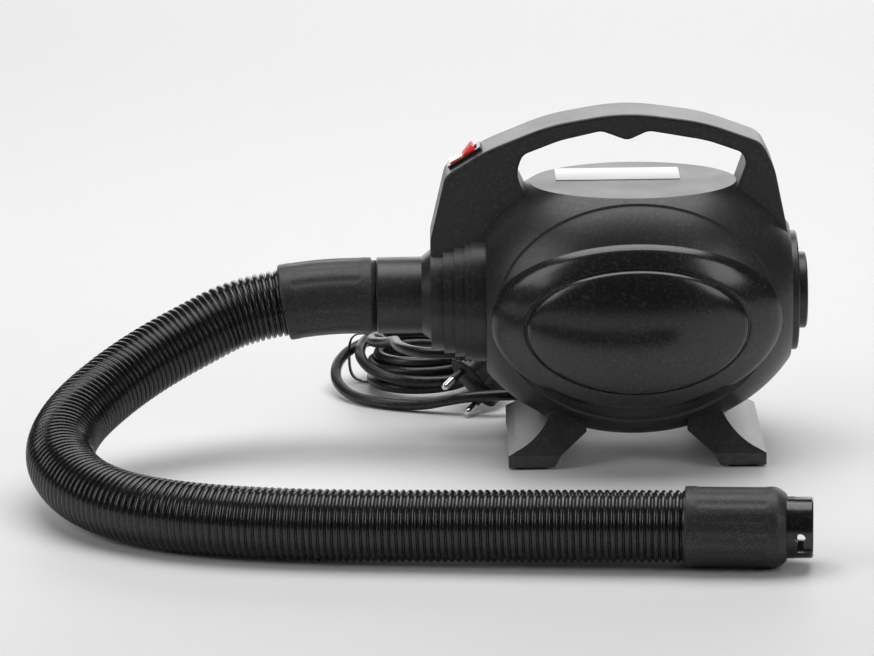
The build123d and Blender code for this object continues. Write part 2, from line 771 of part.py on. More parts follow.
# ================================================================ rocker switch
rocker_view = Plane(origin=switch_plane.origin, x_dir=switch_plane.x_dir, z_dir=(0, -1, 0))

with BuildPart() as switch_frame:
    with BuildSketch(switch_plane):
        RectangleRounded(bezel_len, bezel_wide, bezel_corner)
    extrude(amount=bezel_t)
    with BuildSketch(switch_plane):
        Rectangle(switch_len, switch_wide)
    extrude(amount=-switch_deep)
    with BuildSketch(switch_plane.offset(bezel_t)):
        Rectangle(rocker_len + 2 * rocker_gap, rocker_wide + 2 * free)
    extrude(amount=-bezel_t - switch_deep + 2, mode=Mode.SUBTRACT)
    with BuildSketch(rocker_view):
        with Locations((0, -rocker_pin_drop)):
            Circle(rocker_pin_r + run_fit)
    extrude(amount=rocker_wide / 2 + free + pin_bearing, both=True, mode=Mode.SUBTRACT)
save(switch_frame, "switch_frame")

with BuildPart() as switch_rocker:
    with BuildSketch(rocker_view):
        with Locations(Location((0, -rocker_pin_drop), 0)):
            with Locations(Location((0, 0), rocker_tilt)):
                with BuildLine(mode=Mode.PRIVATE) as rocker_line:
                    Polyline((-rocker_len / 2, 5.6), (0, 4.0), (rocker_len / 2, 5.6),
                             (rocker_len / 2 - 0.4, 0), (3.4, -4.8), (-3.4, -4.8),
                             (-rocker_len / 2 + 0.4, 0), close=True)
                add(make_face(rocker_line.line, mode=Mode.PRIVATE))
    extrude(amount=rocker_wide / 2, both=True)
    with BuildSketch(rocker_view):
        with Locations((0, -rocker_pin_drop)):
            Circle(rocker_pin_r)
    extrude(amount=rocker_wide / 2 + free + pin_bearing - slip, both=True)
save(switch_rocker, "switch_rocker")

with BuildPart() as switch_terminals:
    with BuildSketch(switch_plane.offset(-switch_deep)):
        with Locations((-terminal_x, 0), (terminal_x, 0)):
            Rectangle(*terminal[:2])
    extrude(amount=-terminal[2])
save(switch_terminals, "switch_terminals")

# ================================================================ motor
brush_plane = Plane(origin=(cx + (commutator_x[0] + commutator_x[1]) / 2, 0, axis_z), x_dir=(1, 0, 0))
brush_from = commutator_r + brush_gap
holder_side = brush_side + 2 * holder_wall

with BuildPart() as stator_core:
    with BuildSketch(end_plane(core_x[0])):
        Circle(core_r)
        Circle(yoke_r, mode=Mode.SUBTRACT)
        with BuildSketch(mode=Mode.PRIVATE) as pole:
            wedge = 1.6 * yoke_r
            wedge_x = wedge * cos(radians(pole_half_deg))
            wedge_y = wedge * sin(radians(pole_half_deg))
            with BuildLine():
                Polyline((0, 0), (wedge_x, wedge_y), (wedge, 0), (wedge_x, -wedge_y), close=True)
            make_face()
            Circle(yoke_r + 1, mode=Mode.INTERSECT)
        with PolarLocations(0, 2, start_angle=90):
            add(pole.sketch)
        Circle(core_bore, mode=Mode.SUBTRACT)
    extrude(amount=core_x[1] - core_x[0])
save(stator_core, "stator_core")

with BuildSketch(Plane.XY) as coil_window:
    Circle(yoke_r - slip)
    Circle(core_bore + 0.4, mode=Mode.SUBTRACT)
    wide = 2 * yoke_r
    with BuildLine():
        Polyline((0, 0), (wide * cos(radians(6)), wide * sin(radians(6))), (0, wide),
                 (-wide * cos(radians(6)), wide * sin(radians(6))), close=True)
    make_face(mode=Mode.INTERSECT)

with BuildSketch(Plane.XY) as pole_gap:
    wide = 2 * yoke_r
    half = radians(90 - pole_half_deg - 1)
    with BuildLine():
        Polyline((0, 0), (wide * cos(half), wide * sin(half)), (0, wide), (-wide * cos(half), wide * sin(half)),
                 close=True)
    make_face()

with BuildPart() as field_coils:
    for turn in (0, 180):
        with BuildSketch(end_plane(core_x[0] - coil_over)):
            add(coil_window.sketch, rotation=turn)
        extrude(amount=core_x[1] - core_x[0] + 2 * coil_over)
    with BuildSketch(end_plane(core_x[0] - slip)):
        add(pole_gap.sketch)
        add(pole_gap.sketch, rotation=180)
    extrude(amount=core_x[1] - core_x[0] + 2 * slip, mode=Mode.SUBTRACT)
save(field_coils, "field_coils")

def motor_bracket(plate_x, inward, plate_in):
    """Cup that holds a bearing and one end of the field core. inward is +1 or -1 along X."""
    core_end = core_x[0] if inward > 0 else core_x[1]
    reach = abs(core_end - plate_x) + bracket_lap
    with BuildPart(mode=Mode.PRIVATE) as bracket:
        with BuildSketch(end_plane(plate_x)):
            Circle(bracket_r)
            Circle(core_r + slip, mode=Mode.SUBTRACT)
        extrude(amount=inward * reach)
        with BuildSketch(end_plane(plate_x)):
            Circle(bracket_r)
        extrude(amount=inward * plate_in)
        with BuildSketch(end_plane(plate_x)):
            Circle(bearing_r + bearing_hub)
        extrude(amount=inward * (bearing_t + bearing_step))
        # bearing pocket opens inwards, the shaft passes through the plate
        with BuildSketch(end_plane(plate_x + inward * bearing_step)):
            Circle(bearing_r + slip)
        extrude(amount=inward * (bearing_t + 1), mode=Mode.SUBTRACT)
        with BuildSketch(end_plane(plate_x)):
            Circle(shaft_r + 1)
        extrude(amount=inward * 3, mode=Mode.SUBTRACT)
        with BuildSketch(end_plane(plate_x)):
            with PolarLocations(window_ring, window_count, start_angle=30):
                Circle(window_r)
        extrude(amount=inward * plate_in, mode=Mode.SUBTRACT)
        with BuildSketch(end_plane(plate_x)):
            with PolarLocations(motor_screw_r, 2, start_angle=0):
                Circle(screw_r)
        extrude(amount=inward * plate_in, mode=Mode.SUBTRACT)
    return bracket.part


with BuildPart() as motor_bracket_front:
    add(motor_bracket(bracket_front_x, 1, plate_t))
    # windows beside the commutator, and holes for the brush holders
    with BuildSketch(brush_plane):
        Rectangle(holder_side + 2 * slip, holder_side + 2 * slip)
    extrude(amount=bracket_r + 2, both=True, mode=Mode.SUBTRACT)
save(motor_bracket_front, "motor_bracket_front")

with BuildPart() as motor_bracket_rear:
    add(motor_bracket(bracket_rear_x, -1, plate_t))
save(motor_bracket_rear, "motor_bracket_rear")

for name, mount_x in (("motor_mount_front", mount_front_x), ("motor_mount_rear", mount_rear_x)):
    with BuildPart() as motor_mount:
        with BuildSketch(end_plane(mount_x)):
            Circle(bracket_r + mount_t)
            Circle(bracket_r, mode=Mode.SUBTRACT)
        extrude(amount=mount_len)
    save(motor_mount, name)

for name, bearing_x in (("bearing_front", bracket_front_x + bearing_step),
                        ("bearing_rear", bracket_rear_x - bearing_step - bearing_t)):
    with BuildPart() as bearing:
        with BuildSketch(end_plane(bearing_x)):
            Circle(bearing_r)
            Circle(shaft_r + run_fit, mode=Mode.SUBTRACT)
        extrude(amount=bearing_t)
        for face_x in (bearing_x, bearing_x + bearing_t - 0.4):
            with BuildSketch(end_plane(face_x)):
                Circle(bearing_r - 2)
                Circle(shaft_r + 2, mode=Mode.SUBTRACT)
            extrude(amount=0.4, mode=Mode.SUBTRACT)
    save(bearing, name)

with BuildPart() as carbon_brushes:
    for side in (1, -1):
        with BuildSketch(brush_plane.offset(side * brush_from)):
            Rectangle(brush_side, brush_side)
        extrude(amount=side * brush_len)
save(carbon_brushes, "carbon_brushes")

with BuildPart() as brush_holders:
    for side in (1, -1):
        with BuildSketch(brush_plane.offset(side * (brush_from + holder_start))):
            Rectangle(holder_side, holder_side)
            Rectangle(brush_side + 2 * slip, brush_side + 2 * slip, mode=Mode.SUBTRACT)
        extrude(amount=side * (bracket_r - brush_from - holder_start - 1))
        with BuildSketch(brush_plane.offset(side * (bracket_r - 1))):
            Rectangle(holder_side, holder_side)
        extrude(amount=side * holder_wall)
save(brush_holders, "brush_holders")

with BuildPart() as motor_screws:
    with BuildSketch(end_plane(bracket_front_x)):
        with PolarLocations(motor_screw_r, 2):
            Circle(screw_r)
    extrude(amount=core_x[0] - bracket_front_x)
    with BuildSketch(end_plane(bracket_rear_x)):
        with PolarLocations(motor_screw_r, 2):
            Circle(screw_r)
    extrude(amount=core_x[1] - bracket_rear_x)
    with BuildSketch(end_plane(bracket_front_x)):
        with PolarLocations(motor_screw_r, 2):
            Circle(motor_screw_head)
    extrude(amount=-screw_head_t)
    with BuildSketch(end_plane(bracket_rear_x)):
        with PolarLocations(motor_screw_r, 2):
            Circle(motor_screw_head)
    extrude(amount=motor_head_rear)
save(motor_screws, "motor_screws")

# ================================================================ rotor
with BuildPart() as motor_shaft:
    with BuildSketch(end_plane(bracket_front_x - 1)):
        Circle(shaft_r)
    extrude(amount=fan_x[1] + 1 - bracket_front_x + 1)
save(motor_shaft, "motor_shaft")

armature_r = core_bore - air_gap
with BuildPart() as armature_core:
    with BuildSketch(end_plane(core_x[0])):
        Circle(armature_r)
        Circle(shaft_r, mode=Mode.SUBTRACT)
        with PolarLocations(armature_r, armature_slots):
            Rectangle(*armature_slot, mode=Mode.SUBTRACT)
        with PolarLocations(armature_r - armature_slot[0], armature_slots):
            Circle(armature_slot[1], mode=Mode.SUBTRACT)
    extrude(amount=core_x[1] - core_x[0])
save(armature_core, "armature_core")

with BuildPart() as armature_winding:
    with BuildSketch(axis_view):
        with BuildLine():
            Polyline((core_x[0] - 0.1, shaft_r), (core_x[0] - 0.1, armature_r - 3),
                     (core_x[0] - 4, armature_r - 2.4), (core_x[0] - 9, armature_r - 7),
                     (core_x[0] - 9.5, shaft_r), close=True)
        make_face()
        with BuildLine():
            Polyline((core_x[1] + 0.1, shaft_r), (core_x[1] + 0.1, armature_r - 3),
                     (core_x[1] + 4, armature_r - 2.4), (core_x[1] + 8, armature_r - 7),
                     (core_x[1] + 8, shaft_r), close=True)
        make_face()
    revolve(axis=air_axis)
save(armature_winding, "armature_winding")

with BuildPart() as commutator:
    with BuildSketch(end_plane(commutator_x[0])):
        Circle(commutator_r)
        Circle(shaft_r, mode=Mode.SUBTRACT)
        with PolarLocations(commutator_r, commutator_bars):
            Rectangle(*commutator_cut, mode=Mode.SUBTRACT)
    extrude(amount=commutator_x[1] - commutator_x[0])
save(commutator, "commutator")

with BuildSketch(Plane.XY) as fan_blade:
    with BuildLine():
        ThreePointArc((12, 0), (28, 7), (fan_r - 0.5, 4))
    trace(line_width=blade_t)

with BuildPart() as fan_wheel:
    with BuildSketch(end_plane(fan_x[0])):
        Circle(fan_r)
        Circle(shaft_r, mode=Mode.SUBTRACT)
    extrude(amount=fan_disc_t)
    with BuildSketch(end_plane(fan_x[0])):
        Circle(fan_hub_r)
        Circle(shaft_r, mode=Mode.SUBTRACT)
    extrude(amount=fan_hub_len)
    with BuildSketch(end_plane(fan_x[0])):
        with PolarLocations(0, fan_blades):
            add(fan_blade.sketch)
    extrude(amount=fan_x[1] - fan_x[0] - fan_cover_t)
    with BuildSketch(end_plane(fan_x[1] - fan_cover_t)):
        Circle(fan_r)
        Circle(eye_r + 1, mode=Mode.SUBTRACT)
    extrude(amount=fan_cover_t)
save(fan_wheel, "fan_wheel")

with BuildPart() as fan_nut:
    with BuildSketch(end_plane(fan_x[0] + fan_hub_len)):
        RegularPolygon(nut_r, 6)
        Circle(shaft_r, mode=Mode.SUBTRACT)
    extrude(amount=nut_t)
save(fan_nut, "fan_nut")

# ================================================================ fan plates
def plate_r(x):
    """Radius of the cavity at a distance from the housing middle."""
    return ellipse_r(x, cavity_a, cavity_r) - slip


with BuildPart() as fan_diffuser:
    with BuildSketch(end_plane(diffuser_x)):
        Circle(plate_r(diffuser_x + diffuser_t))
        Circle(shaft_r + 2, mode=Mode.SUBTRACT)
        with PolarLocations(fan_r + ledge_deep / 2, diffuser_slots):
            SlotOverall(*diffuser_slot, rotation=70, mode=Mode.SUBTRACT)
        with PolarLocations(motor_screw_r, 2):
            Circle(screw_head_r, mode=Mode.SUBTRACT)
    extrude(amount=diffuser_t)
save(fan_diffuser, "fan_diffuser")

with BuildPart() as fan_shroud:
    with BuildSketch(end_plane(shroud_x)):
        Circle(plate_r(shroud_x + shroud_t))
        Circle(eye_r, mode=Mode.SUBTRACT)
    extrude(amount=shroud_t)
    with BuildSketch(end_plane(shroud_x)):
        Circle(eye_r + eye_collar_t)
        Circle(eye_r, mode=Mode.SUBTRACT)
    extrude(amount=eye_collar_len)
save(fan_shroud, "fan_shroud")

# ================================================================ electrics
with BuildPart() as capacitor:
    with BuildSketch(Plane.XY.offset(axis_z + plateau_h - wall)):
        with Locations((cx + capacitor_at[0], capacitor_at[1])):
            RectangleRounded(*capacitor_size[:2], 1)
    extrude(amount=-capacitor_size[2])
save(capacitor, "capacitor")

clamp_turn = degrees(atan2(gland_z - axis_z, gland_y)) + 90
clamp_spots = [(-clamp_hole * cos(radians(clamp_turn)), -clamp_hole * sin(radians(clamp_turn))),
               (clamp_hole * cos(radians(clamp_turn)), clamp_hole * sin(radians(clamp_turn)))]
with BuildPart() as cable_clamp:
    with BuildSketch(end_plane(-clamp_face, gland_y, gland_z)):
        RectangleRounded(*clamp_size, rotation=clamp_turn)
        Circle(lead_r + slip, mode=Mode.SUBTRACT)
        with Locations(clamp_spots):
            Circle(clamp_screw_r, mode=Mode.SUBTRACT)
    extrude(amount=clamp_t)
save(cable_clamp, "cable_clamp")

with BuildPart() as clamp_screws:
    with BuildSketch(end_plane(-clamp_face, gland_y, gland_z)):
        with Locations(clamp_spots):
            Circle(clamp_screw_r)
    extrude(amount=clamp_t)
    with BuildSketch(end_plane(-clamp_face + clamp_t, gland_y, gland_z)):
        with Locations(clamp_spots):
            Circle(clamp_head_r)
    extrude(amount=clamp_head_t)
save(clamp_screws, "clamp_screws")

bush_len = gland_face - clamp_face
with BuildPart() as gland:
    with BuildSketch(Plane(origin=(cx - gland_face, gland_y, gland_z), x_dir=(1, 0, 0), z_dir=(0, -1, 0))):
        with BuildLine():
            Polyline((-gland_len, 0), (-gland_len, lead_r + gland_tip), (-gland_rim_t, gland_root_r),
                     (-gland_rim_t, gland_rim_r), (0, gland_rim_r), (0, bush_r - slip),
                     (bush_len, bush_r - slip), (bush_len, lead_r), (bush_len + clamp_t, lead_r),
                     (bush_len + clamp_t, 0), close=True)
        make_face()
    revolve(axis=Axis((cx, gland_y, gland_z), (1, 0, 0)))
save(gland, "mains_gland")


def round_sweep(points, radius, inner=0.0):
    """Tube along straight runs joined by tangent arcs, with its radii printed."""
    radii = route_radii(points)
    with BuildLine(mode=Mode.PRIVATE) as route:
        FilletPolyline(*points, radius=radii)
    path = route.wire()
    with BuildPart(mode=Mode.PRIVATE) as tube:
        with BuildSketch(Plane(origin=path @ 0, z_dir=path % 0)):
            Circle(radius)
            if inner:
                Circle(inner, mode=Mode.SUBTRACT)
        sweep(path=path)
    exact = pi * (radius ** 2 - inner ** 2) * path.length
    print("radii", [round(r, 1) for r in radii], "length", round(path.length, 1), "volume/exact",
          round(tube.part.volume / exact, 4))
    return tube.part


lead_end = -clamp_face + clamp_t
supply_route = [(lead_end + free, gland_y + 1.5, gland_z), (lead_end + 4, gland_y + 2, gland_z + 2.5),
                (-47, 37, 68), (-55, 34, 98), (-69, 14, 119), (-76, 4, 131), (-80.5, 0, 138)]
switched_route = [(-73.5, 0, 141), (-71, -3, 136.5), (-63.5, -8, 134.8), (-50, -12, 136.5), (-34, -12, 135),
                  (-23.5, -8, 130), (-20, -3.5, 124.8)]
with BuildPart() as inner_leads:
    add(round_sweep(from_middle(supply_route), wire_r))
    add(round_sweep(from_middle(switched_route), wire_r))
save(inner_leads, "inner_leads")

# ================================================================ mains lead
ring_x = cx + coil_centre[0]
ring_y = coil_centre[1]

with BuildPart() as mains_coil:
    with BuildSketch(Plane(origin=(ring_x, ring_y, 0), x_dir=(1, 0, 0), z_dir=(0, -1, 0))):
        with Locations((coil_mean_r, (coil_floor + coil_top) / 2)):
            RectangleRounded(coil_wide, coil_top - coil_floor, coil_corner)
    revolve(axis=Axis((ring_x, ring_y, 0), (0, 0, 1)))
save(mains_coil, "mains_coil")

tie_out = Vector(cos(radians(tie_deg)), sin(radians(tie_deg)), 0)
tie_plane = Plane(origin=Vector(ring_x, ring_y, (coil_floor + coil_top) / 2) + tie_out * coil_mean_r,
                  x_dir=tie_out, z_dir=(-tie_out.Y, tie_out.X, 0))
coil_high = coil_top - coil_floor
with BuildPart() as lead_tie:
    with BuildSketch(tie_plane):
        RectangleRounded(coil_wide + 2 * (tie_slack + tie_t), coil_high + 2 * tie_t, coil_corner + tie_t)
        RectangleRounded(coil_wide + 2 * tie_slack, coil_high + 2 * slip, coil_corner, mode=Mode.SUBTRACT)
    extrude(amount=tie_wide / 2, both=True)
save(lead_tie, "lead_tie")

with BuildPart() as mains_lead:
    add(round_sweep(from_middle(lead_route), lead_r))
save(mains_lead, "mains_lead")

with BuildPart() as mains_loop:
    add(round_sweep(from_middle(loop_route), lead_r))
save(mains_loop, "mains_loop")

with BuildPart() as mains_tail:
    add(round_sweep(from_middle(tail_route), lead_r))
save(mains_tail, "mains_tail")

plug_origin = plug_face + Vector(cx, 0, 0)
plug_plane = Plane(origin=plug_origin, x_dir=plug_across, z_dir=plug_point)

with BuildPart() as plug_body:
    with BuildSketch(plug_plane):
        SlotOverall(plug_wide, plug_thick)
    with BuildSketch(plug_plane.offset(-plug_len * plug_straight)):
        SlotOverall(plug_wide, plug_thick)
    loft()
    with BuildSketch(plug_plane.offset(-plug_len * plug_straight)):
        SlotOverall(plug_wide, plug_thick)
    with BuildSketch(plug_plane.offset(-plug_len)):
        SlotOverall(*plug_back)
    loft()
    with BuildSketch(plug_plane.offset(-plug_len)):
        Circle(plug_neck_r)
    with BuildSketch(plug_plane.offset(-plug_len - plug_tail)):
        Circle(lead_r + 1)
    loft()
    with BuildSketch(plug_plane.offset(-plug_len - plug_tail)):
        Circle(lead_r)
    extrude(amount=plug_lap, mode=Mode.SUBTRACT)
    with BuildSketch(plug_plane):
        with Locations((-pin_pitch / 2, 0), (pin_pitch / 2, 0)):
            Circle(pin_r)
    extrude(amount=-pin_root, mode=Mode.SUBTRACT)
save(plug_body, "plug_body")

with BuildPart() as plug_pins:
    for side in (-1, 1):
        with BuildSketch(plug_plane.offset(-pin_root)):
            with Locations((side * pin_pitch / 2, 0)):
                Circle(pin_r)
        extrude(amount=pin_root)
        with BuildSketch(plug_plane):
            with Locations((side * pin_pitch / 2, 0)):
                Circle(pin_r - sleeve_t)
        extrude(amount=pin_sleeve)
        with BuildSketch(plug_plane.offset(pin_sleeve)):
            with Locations((side * pin_pitch / 2, 0)):
                Circle(pin_r)
        extrude(amount=pin_len - pin_sleeve)
    tip_edges = plug_pins.edges().filter_by(GeomType.CIRCLE).group_by(Axis(plug_origin, plug_point))[-1]
    chamfer(tip_edges, length=pin_tip)
save(plug_pins, "plug_pins")

with BuildPart() as pin_sleeves:
    for side in (-1, 1):
        with BuildSketch(plug_plane):
            with Locations((side * pin_pitch / 2, 0)):
                Circle(pin_r)
                Circle(pin_r - sleeve_t, mode=Mode.SUBTRACT)
        extrude(amount=pin_sleeve)
save(pin_sleeves, "pin_sleeves")

# ================================================================ hose
cuff_mouth = tube_reach + cuff_gap
bend_len = cuff_len - cuff_straight
bend_r = bend_len / radians(cuff_droop)
bend_from = Vector(cx - cuff_mouth - cuff_straight, 0, axis_z)
hose_start = bend_from + Vector(-bend_r * sin(radians(cuff_droop)), 0, -bend_r * (1 - cos(radians(cuff_droop))))
hose_dir = Vector(-cos(radians(cuff_droop)), 0, -sin(radians(cuff_droop)))
hose_bore = hose_r - hose_wall
spigot_r = tube_r - tube_wall - slip

with BuildPart() as hose_cuff:
    with BuildSketch(axis_view):
        with BuildLine():
            Polyline((-cuff_mouth - cuff_straight, hose_bore), (-cuff_mouth - cuff_straight, cuff_r),
                     (-cuff_mouth, cuff_r), (-cuff_mouth, cuff_r - cuff_lip),
                     (-tube_reach - 2 * slip, cuff_r - cuff_lip), (-tube_reach - 2 * slip, spigot_r),
                     (-cuff_mouth + spigot_len, spigot_r), (-cuff_mouth + spigot_len, spigot_r - spigot_wall),
                     (-cuff_mouth, spigot_r - spigot_root), close=True)
        make_face()
    revolve(axis=air_axis)
    with BuildSketch(end_plane(-cuff_mouth - cuff_straight)):
        Circle(cuff_r)
        Circle(hose_bore, mode=Mode.SUBTRACT)
    revolve(axis=Axis((bend_from.X, 0, axis_z - bend_r), (0, 1, 0)), revolution_arc=-cuff_droop)
save(hose_cuff, "hose_cuff")

with BuildPart() as hose_tube:
    points = [tuple(hose_start)] + from_middle(hose_route)
    points.append(tuple(hose_end + Vector(cx, 0, 0) - hose_way * hose_last_run))
    points.append(tuple(hose_end + Vector(cx, 0, 0)))
    add(round_sweep(points, hose_r, hose_bore))
save(hose_tube, "hose_tube")

end_axis = Axis(hose_end + Vector(cx, 0, 0), hose_way)
end_side = Plane(origin=hose_end + Vector(cx, 0, 0), x_dir=hose_way, z_dir=Vector(0, 0, 1).cross(hose_way) * -1)
nozzle_root = end_cuff_len - nozzle_deep
nozzle_face = end_cuff_len + end_cone_len
nozzle_end = nozzle_face + bayonet_len

with BuildPart() as hose_end_cuff:
    with BuildSketch(end_side):
        with BuildLine():
            Polyline((0, hose_bore), (0, end_cuff_r - end_cuff_edge), (end_cuff_edge, end_cuff_r),
                     (end_cuff_len, end_cuff_r), (nozzle_face, bayonet_seat_r + end_cuff_edge),
                     (nozzle_face, bayonet_seat_r + slip), (nozzle_root, bayonet_seat_r + slip),
                     (nozzle_root, hose_bore), close=True)
        make_face()
    revolve(axis=end_axis)
save(hose_end_cuff, "hose_end_cuff")

with BuildPart() as hose_nozzle:
    with BuildSketch(end_side):
        with BuildLine():
            Polyline((nozzle_root, bayonet_r - bayonet_wall), (nozzle_root, bayonet_seat_r),
                     (nozzle_face + seat_show, bayonet_seat_r), (nozzle_face + seat_show, bayonet_r),
                     (nozzle_face + bayonet_band, bayonet_r),
                     (nozzle_face + bayonet_band, bayonet_r - bayonet_relief),
                     (nozzle_end - mouth_chamfer, bayonet_r - bayonet_relief),
                     (nozzle_end, bayonet_r - bayonet_relief - mouth_chamfer),
                     (nozzle_end, bayonet_r - bayonet_wall), close=True)
        make_face()
    revolve(axis=end_axis)
    with BuildSketch(end_side.offset(bayonet_r + 5)):
        with Locations((nozzle_end - 6.5, -1.5)):
            Circle(bayonet_slot / 2)
        with Locations((nozzle_end - 6.5, -5)):
            Rectangle(3, 7)
        with Locations((nozzle_end - 3, -8.5)):
            Rectangle(10, 3)
    extrude(amount=-2 * bayonet_r - 10, mode=Mode.SUBTRACT)
save(hose_nozzle, "hose_nozzle")
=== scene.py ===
"""Looks of the electric air mattress pump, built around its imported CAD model."""

import json
import logging
import math
from dataclasses import dataclass, field
from enum import Enum
from typing import Callable, Sequence

import bpy
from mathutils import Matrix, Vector


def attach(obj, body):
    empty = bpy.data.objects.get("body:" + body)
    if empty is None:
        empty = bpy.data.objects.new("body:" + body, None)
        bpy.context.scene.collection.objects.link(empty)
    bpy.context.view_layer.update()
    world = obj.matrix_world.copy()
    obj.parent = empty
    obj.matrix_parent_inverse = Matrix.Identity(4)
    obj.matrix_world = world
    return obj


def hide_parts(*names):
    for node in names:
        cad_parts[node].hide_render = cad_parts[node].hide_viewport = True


log = logging.getLogger("pump")
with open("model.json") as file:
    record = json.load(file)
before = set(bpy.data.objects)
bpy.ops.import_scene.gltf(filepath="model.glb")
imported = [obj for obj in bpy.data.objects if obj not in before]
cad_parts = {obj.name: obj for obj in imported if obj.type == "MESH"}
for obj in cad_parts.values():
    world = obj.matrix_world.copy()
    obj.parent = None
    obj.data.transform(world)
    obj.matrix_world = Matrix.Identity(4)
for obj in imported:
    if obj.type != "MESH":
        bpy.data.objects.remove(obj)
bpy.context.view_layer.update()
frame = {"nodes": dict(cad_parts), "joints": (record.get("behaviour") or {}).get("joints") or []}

MM = 0.001
RIB_HEIGHT = 0.8 * MM       # ribs of the strain reliefs
RIB_RISE = 0.2              # share of the pitch in which a rib rises or falls
SPIN = next(j for j in frame["joints"] if j["name"] == "motor_spin")
MIDDLE_X = SPIN["pos_m"][0]
AXIS_Z = SPIN["pos_m"][2]

Point = tuple[float, float, float]
Route = list[Point]


class Body(str, Enum):
    """CAD bodies that pieces ride on."""

    HOUSING = "housing"
    HOSE = "hose"


# ------------------------------------------------------------------ points and meshes
def from_middle(points: Sequence[Point]) -> list[Vector]:
    """Turns points given from the housing middle into the pump's frame.

    Args:
        points: places in millimetres, with X counted from the housing middle.

    Returns:
        The same places in metres.
    """
    return [Vector((x * MM + MIDDLE_X, y * MM, z * MM)) for x, y, z in points]


def blend_value(stations: Sequence[tuple[float, float]], t: float) -> float:
    """Reads a value from stations joined by straight lines.

    Args:
        stations: pairs of place and value, in rising order of place.
        t: the place to read.

    Returns:
        The value there, held constant past both ends.
    """
    if t <= stations[0][0]:
        return stations[0][1]
    for (t0, v0), (t1, v1) in zip(stations, stations[1:]):
        if t <= t1:
            return v0 + (v1 - v0) * (t - t0) / (t1 - t0)
    return stations[-1][1]


def add_object(name: str, data: bpy.types.ID) -> bpy.types.Object:
    """Links a new object that holds the given data, at the origin."""
    made = bpy.data.objects.new(name, data)
    bpy.context.scene.collection.objects.link(made)
    return made


def add_mesh(name: str, verts: Sequence[Vector], faces: Sequence[Sequence[int]],
             smooth: bool = True) -> bpy.types.Object:
    """Makes a mesh object from vertices and faces.

    Args:
        name: the piece's name.
        verts: vertex places in metres.
        faces: vertex numbers of each face, counter-clockwise from outside.
        smooth: whether its faces are shaded smooth.

    Returns:
        The new object.
    """
    mesh = bpy.data.meshes.new(name)
    mesh.from_pydata([tuple(v) for v in verts], [], [tuple(f) for f in faces])
    mesh.update()
    if smooth:
        mesh.polygons.foreach_set("use_smooth", [True] * len(mesh.polygons))
    return add_object(name, mesh)


def spline_curve(name: str, points: Sequence[Vector], radius: float = 0.0,
                 resolution: int = 12) -> bpy.types.Object:
    """Makes one open NURBS curve with the points as its control points.

    Args:
        name: the curve's name.
        points: control points in metres.
        radius: radius of the round section, or 0 for a bare line.
        resolution: steps from one control point to the next.

    Returns:
        The curve object.
    """
    data = bpy.data.curves.new(name, "CURVE")
    data.dimensions = "3D"
    data.resolution_u = resolution
    spline = data.splines.new("NURBS")
    spline.points.add(len(points) - 1)
    for knot, place in zip(spline.points, points):
        knot.co = (*place, 1.0)
    spline.order_u = 3
    spline.use_endpoint_u = True
    data.bevel_depth = radius
    data.bevel_resolution = 5
    data.use_fill_caps = radius > 0
    return add_object(name, data)


def line_of(curve: bpy.types.Object) -> list[Vector]:
    """Reads the points of a curve with no section, in order, and removes the curve."""
    graph = bpy.context.evaluated_depsgraph_get()
    mesh = bpy.data.meshes.new_from_object(curve.evaluated_get(graph))
    places = [v.co.copy() for v in mesh.vertices]
    bpy.data.objects.remove(curve)
    return places


def length_of(points: Sequence[Vector]) -> float:
    """Sums the distances between neighbouring points."""
    return sum((b - a).length for a, b in zip(points, points[1:]))


def sweep_rings(name: str, path: Sequence[Vector], across: Vector, around: int,
                radius: Callable[[float, float], tuple[float, float]],
                lead_in: Sequence[tuple[float, float]] = ()) -> bpy.types.Object:
    """Makes a closed skin of rings that follow a path.

    Args:
        name: the piece's name.
        path: middle points of the rings.
        across: a direction across the path, from which the turn is counted.
        around: points in each ring.
        radius: gives the two half widths of a ring from its place along the path, in
            metres, and the turn in radians.
        lead_in: rings in line with the path's start, as distance from it and radius, that
            come before it and may run back and forth.

    Returns:
        The new object.
    """
    verts, faces, run = [], [], 0.0
    first = (path[1] - path[0]).normalized()
    first_side = (across - first * across.dot(first)).normalized()
    for at, size in lead_in:
        for k in range(around):
            turn = 2 * math.pi * k / around
            out = first_side * math.cos(turn) + first.cross(first_side) * math.sin(turn)
            verts.append(path[0] + first * at + out * size)
    for i, place in enumerate(path):
        before, after = path[max(i - 1, 0)], path[min(i + 1, len(path) - 1)]
        run += (place - path[i - 1]).length if i else 0.0
        along = (after - before).normalized()
        side = (across - along * across.dot(along)).normalized()
        up = along.cross(side)
        across = side
        for k in range(around):
            turn = 2 * math.pi * k / around
            wide, high = radius(run, turn)
            verts.append(place + side * (wide * math.cos(turn)) + up * (high * math.sin(turn)))
    rings = len(path) + len(lead_in)
    for i in range(rings - 1):
        for k in range(around):
            after_k = (k + 1) % around
            this, following = i * around, (i + 1) * around
            faces.append((this + k, this + after_k, following + after_k, following + k))
    faces.append(tuple(reversed(range(around))))
    faces.append(tuple(range((rings - 1) * around, rings * around)))
    return add_mesh(name, verts, faces)


def rib_stations(start: float, pitch: float, sizes: Sequence[float],
                 top_end: float) -> list[tuple[float, float]]:
    """Stations of raised ribs in a row, each with a flat top and a groove after it.

    Args:
        start: where the first rib begins, in metres.
        pitch: distance from one rib to the next.
        sizes: radius of each rib's top.
        top_end: where the flat top ends, as a share of the pitch.

    Returns:
        Pairs of place and radius.
    """
    made = []
    for i, size in enumerate(sizes):
        at = start + i * pitch
        made += [(at, size - RIB_HEIGHT), (at + RIB_RISE * pitch, size), (at + top_end * pitch, size),
                 (at + (top_end + RIB_RISE) * pitch, size - RIB_HEIGHT)]
    return made


def straight(start: Vector, way: Vector, places: Sequence[float]) -> list[Vector]:
    """Points on a straight line at the given distances from its start."""
    return [start + way * place for place in places]


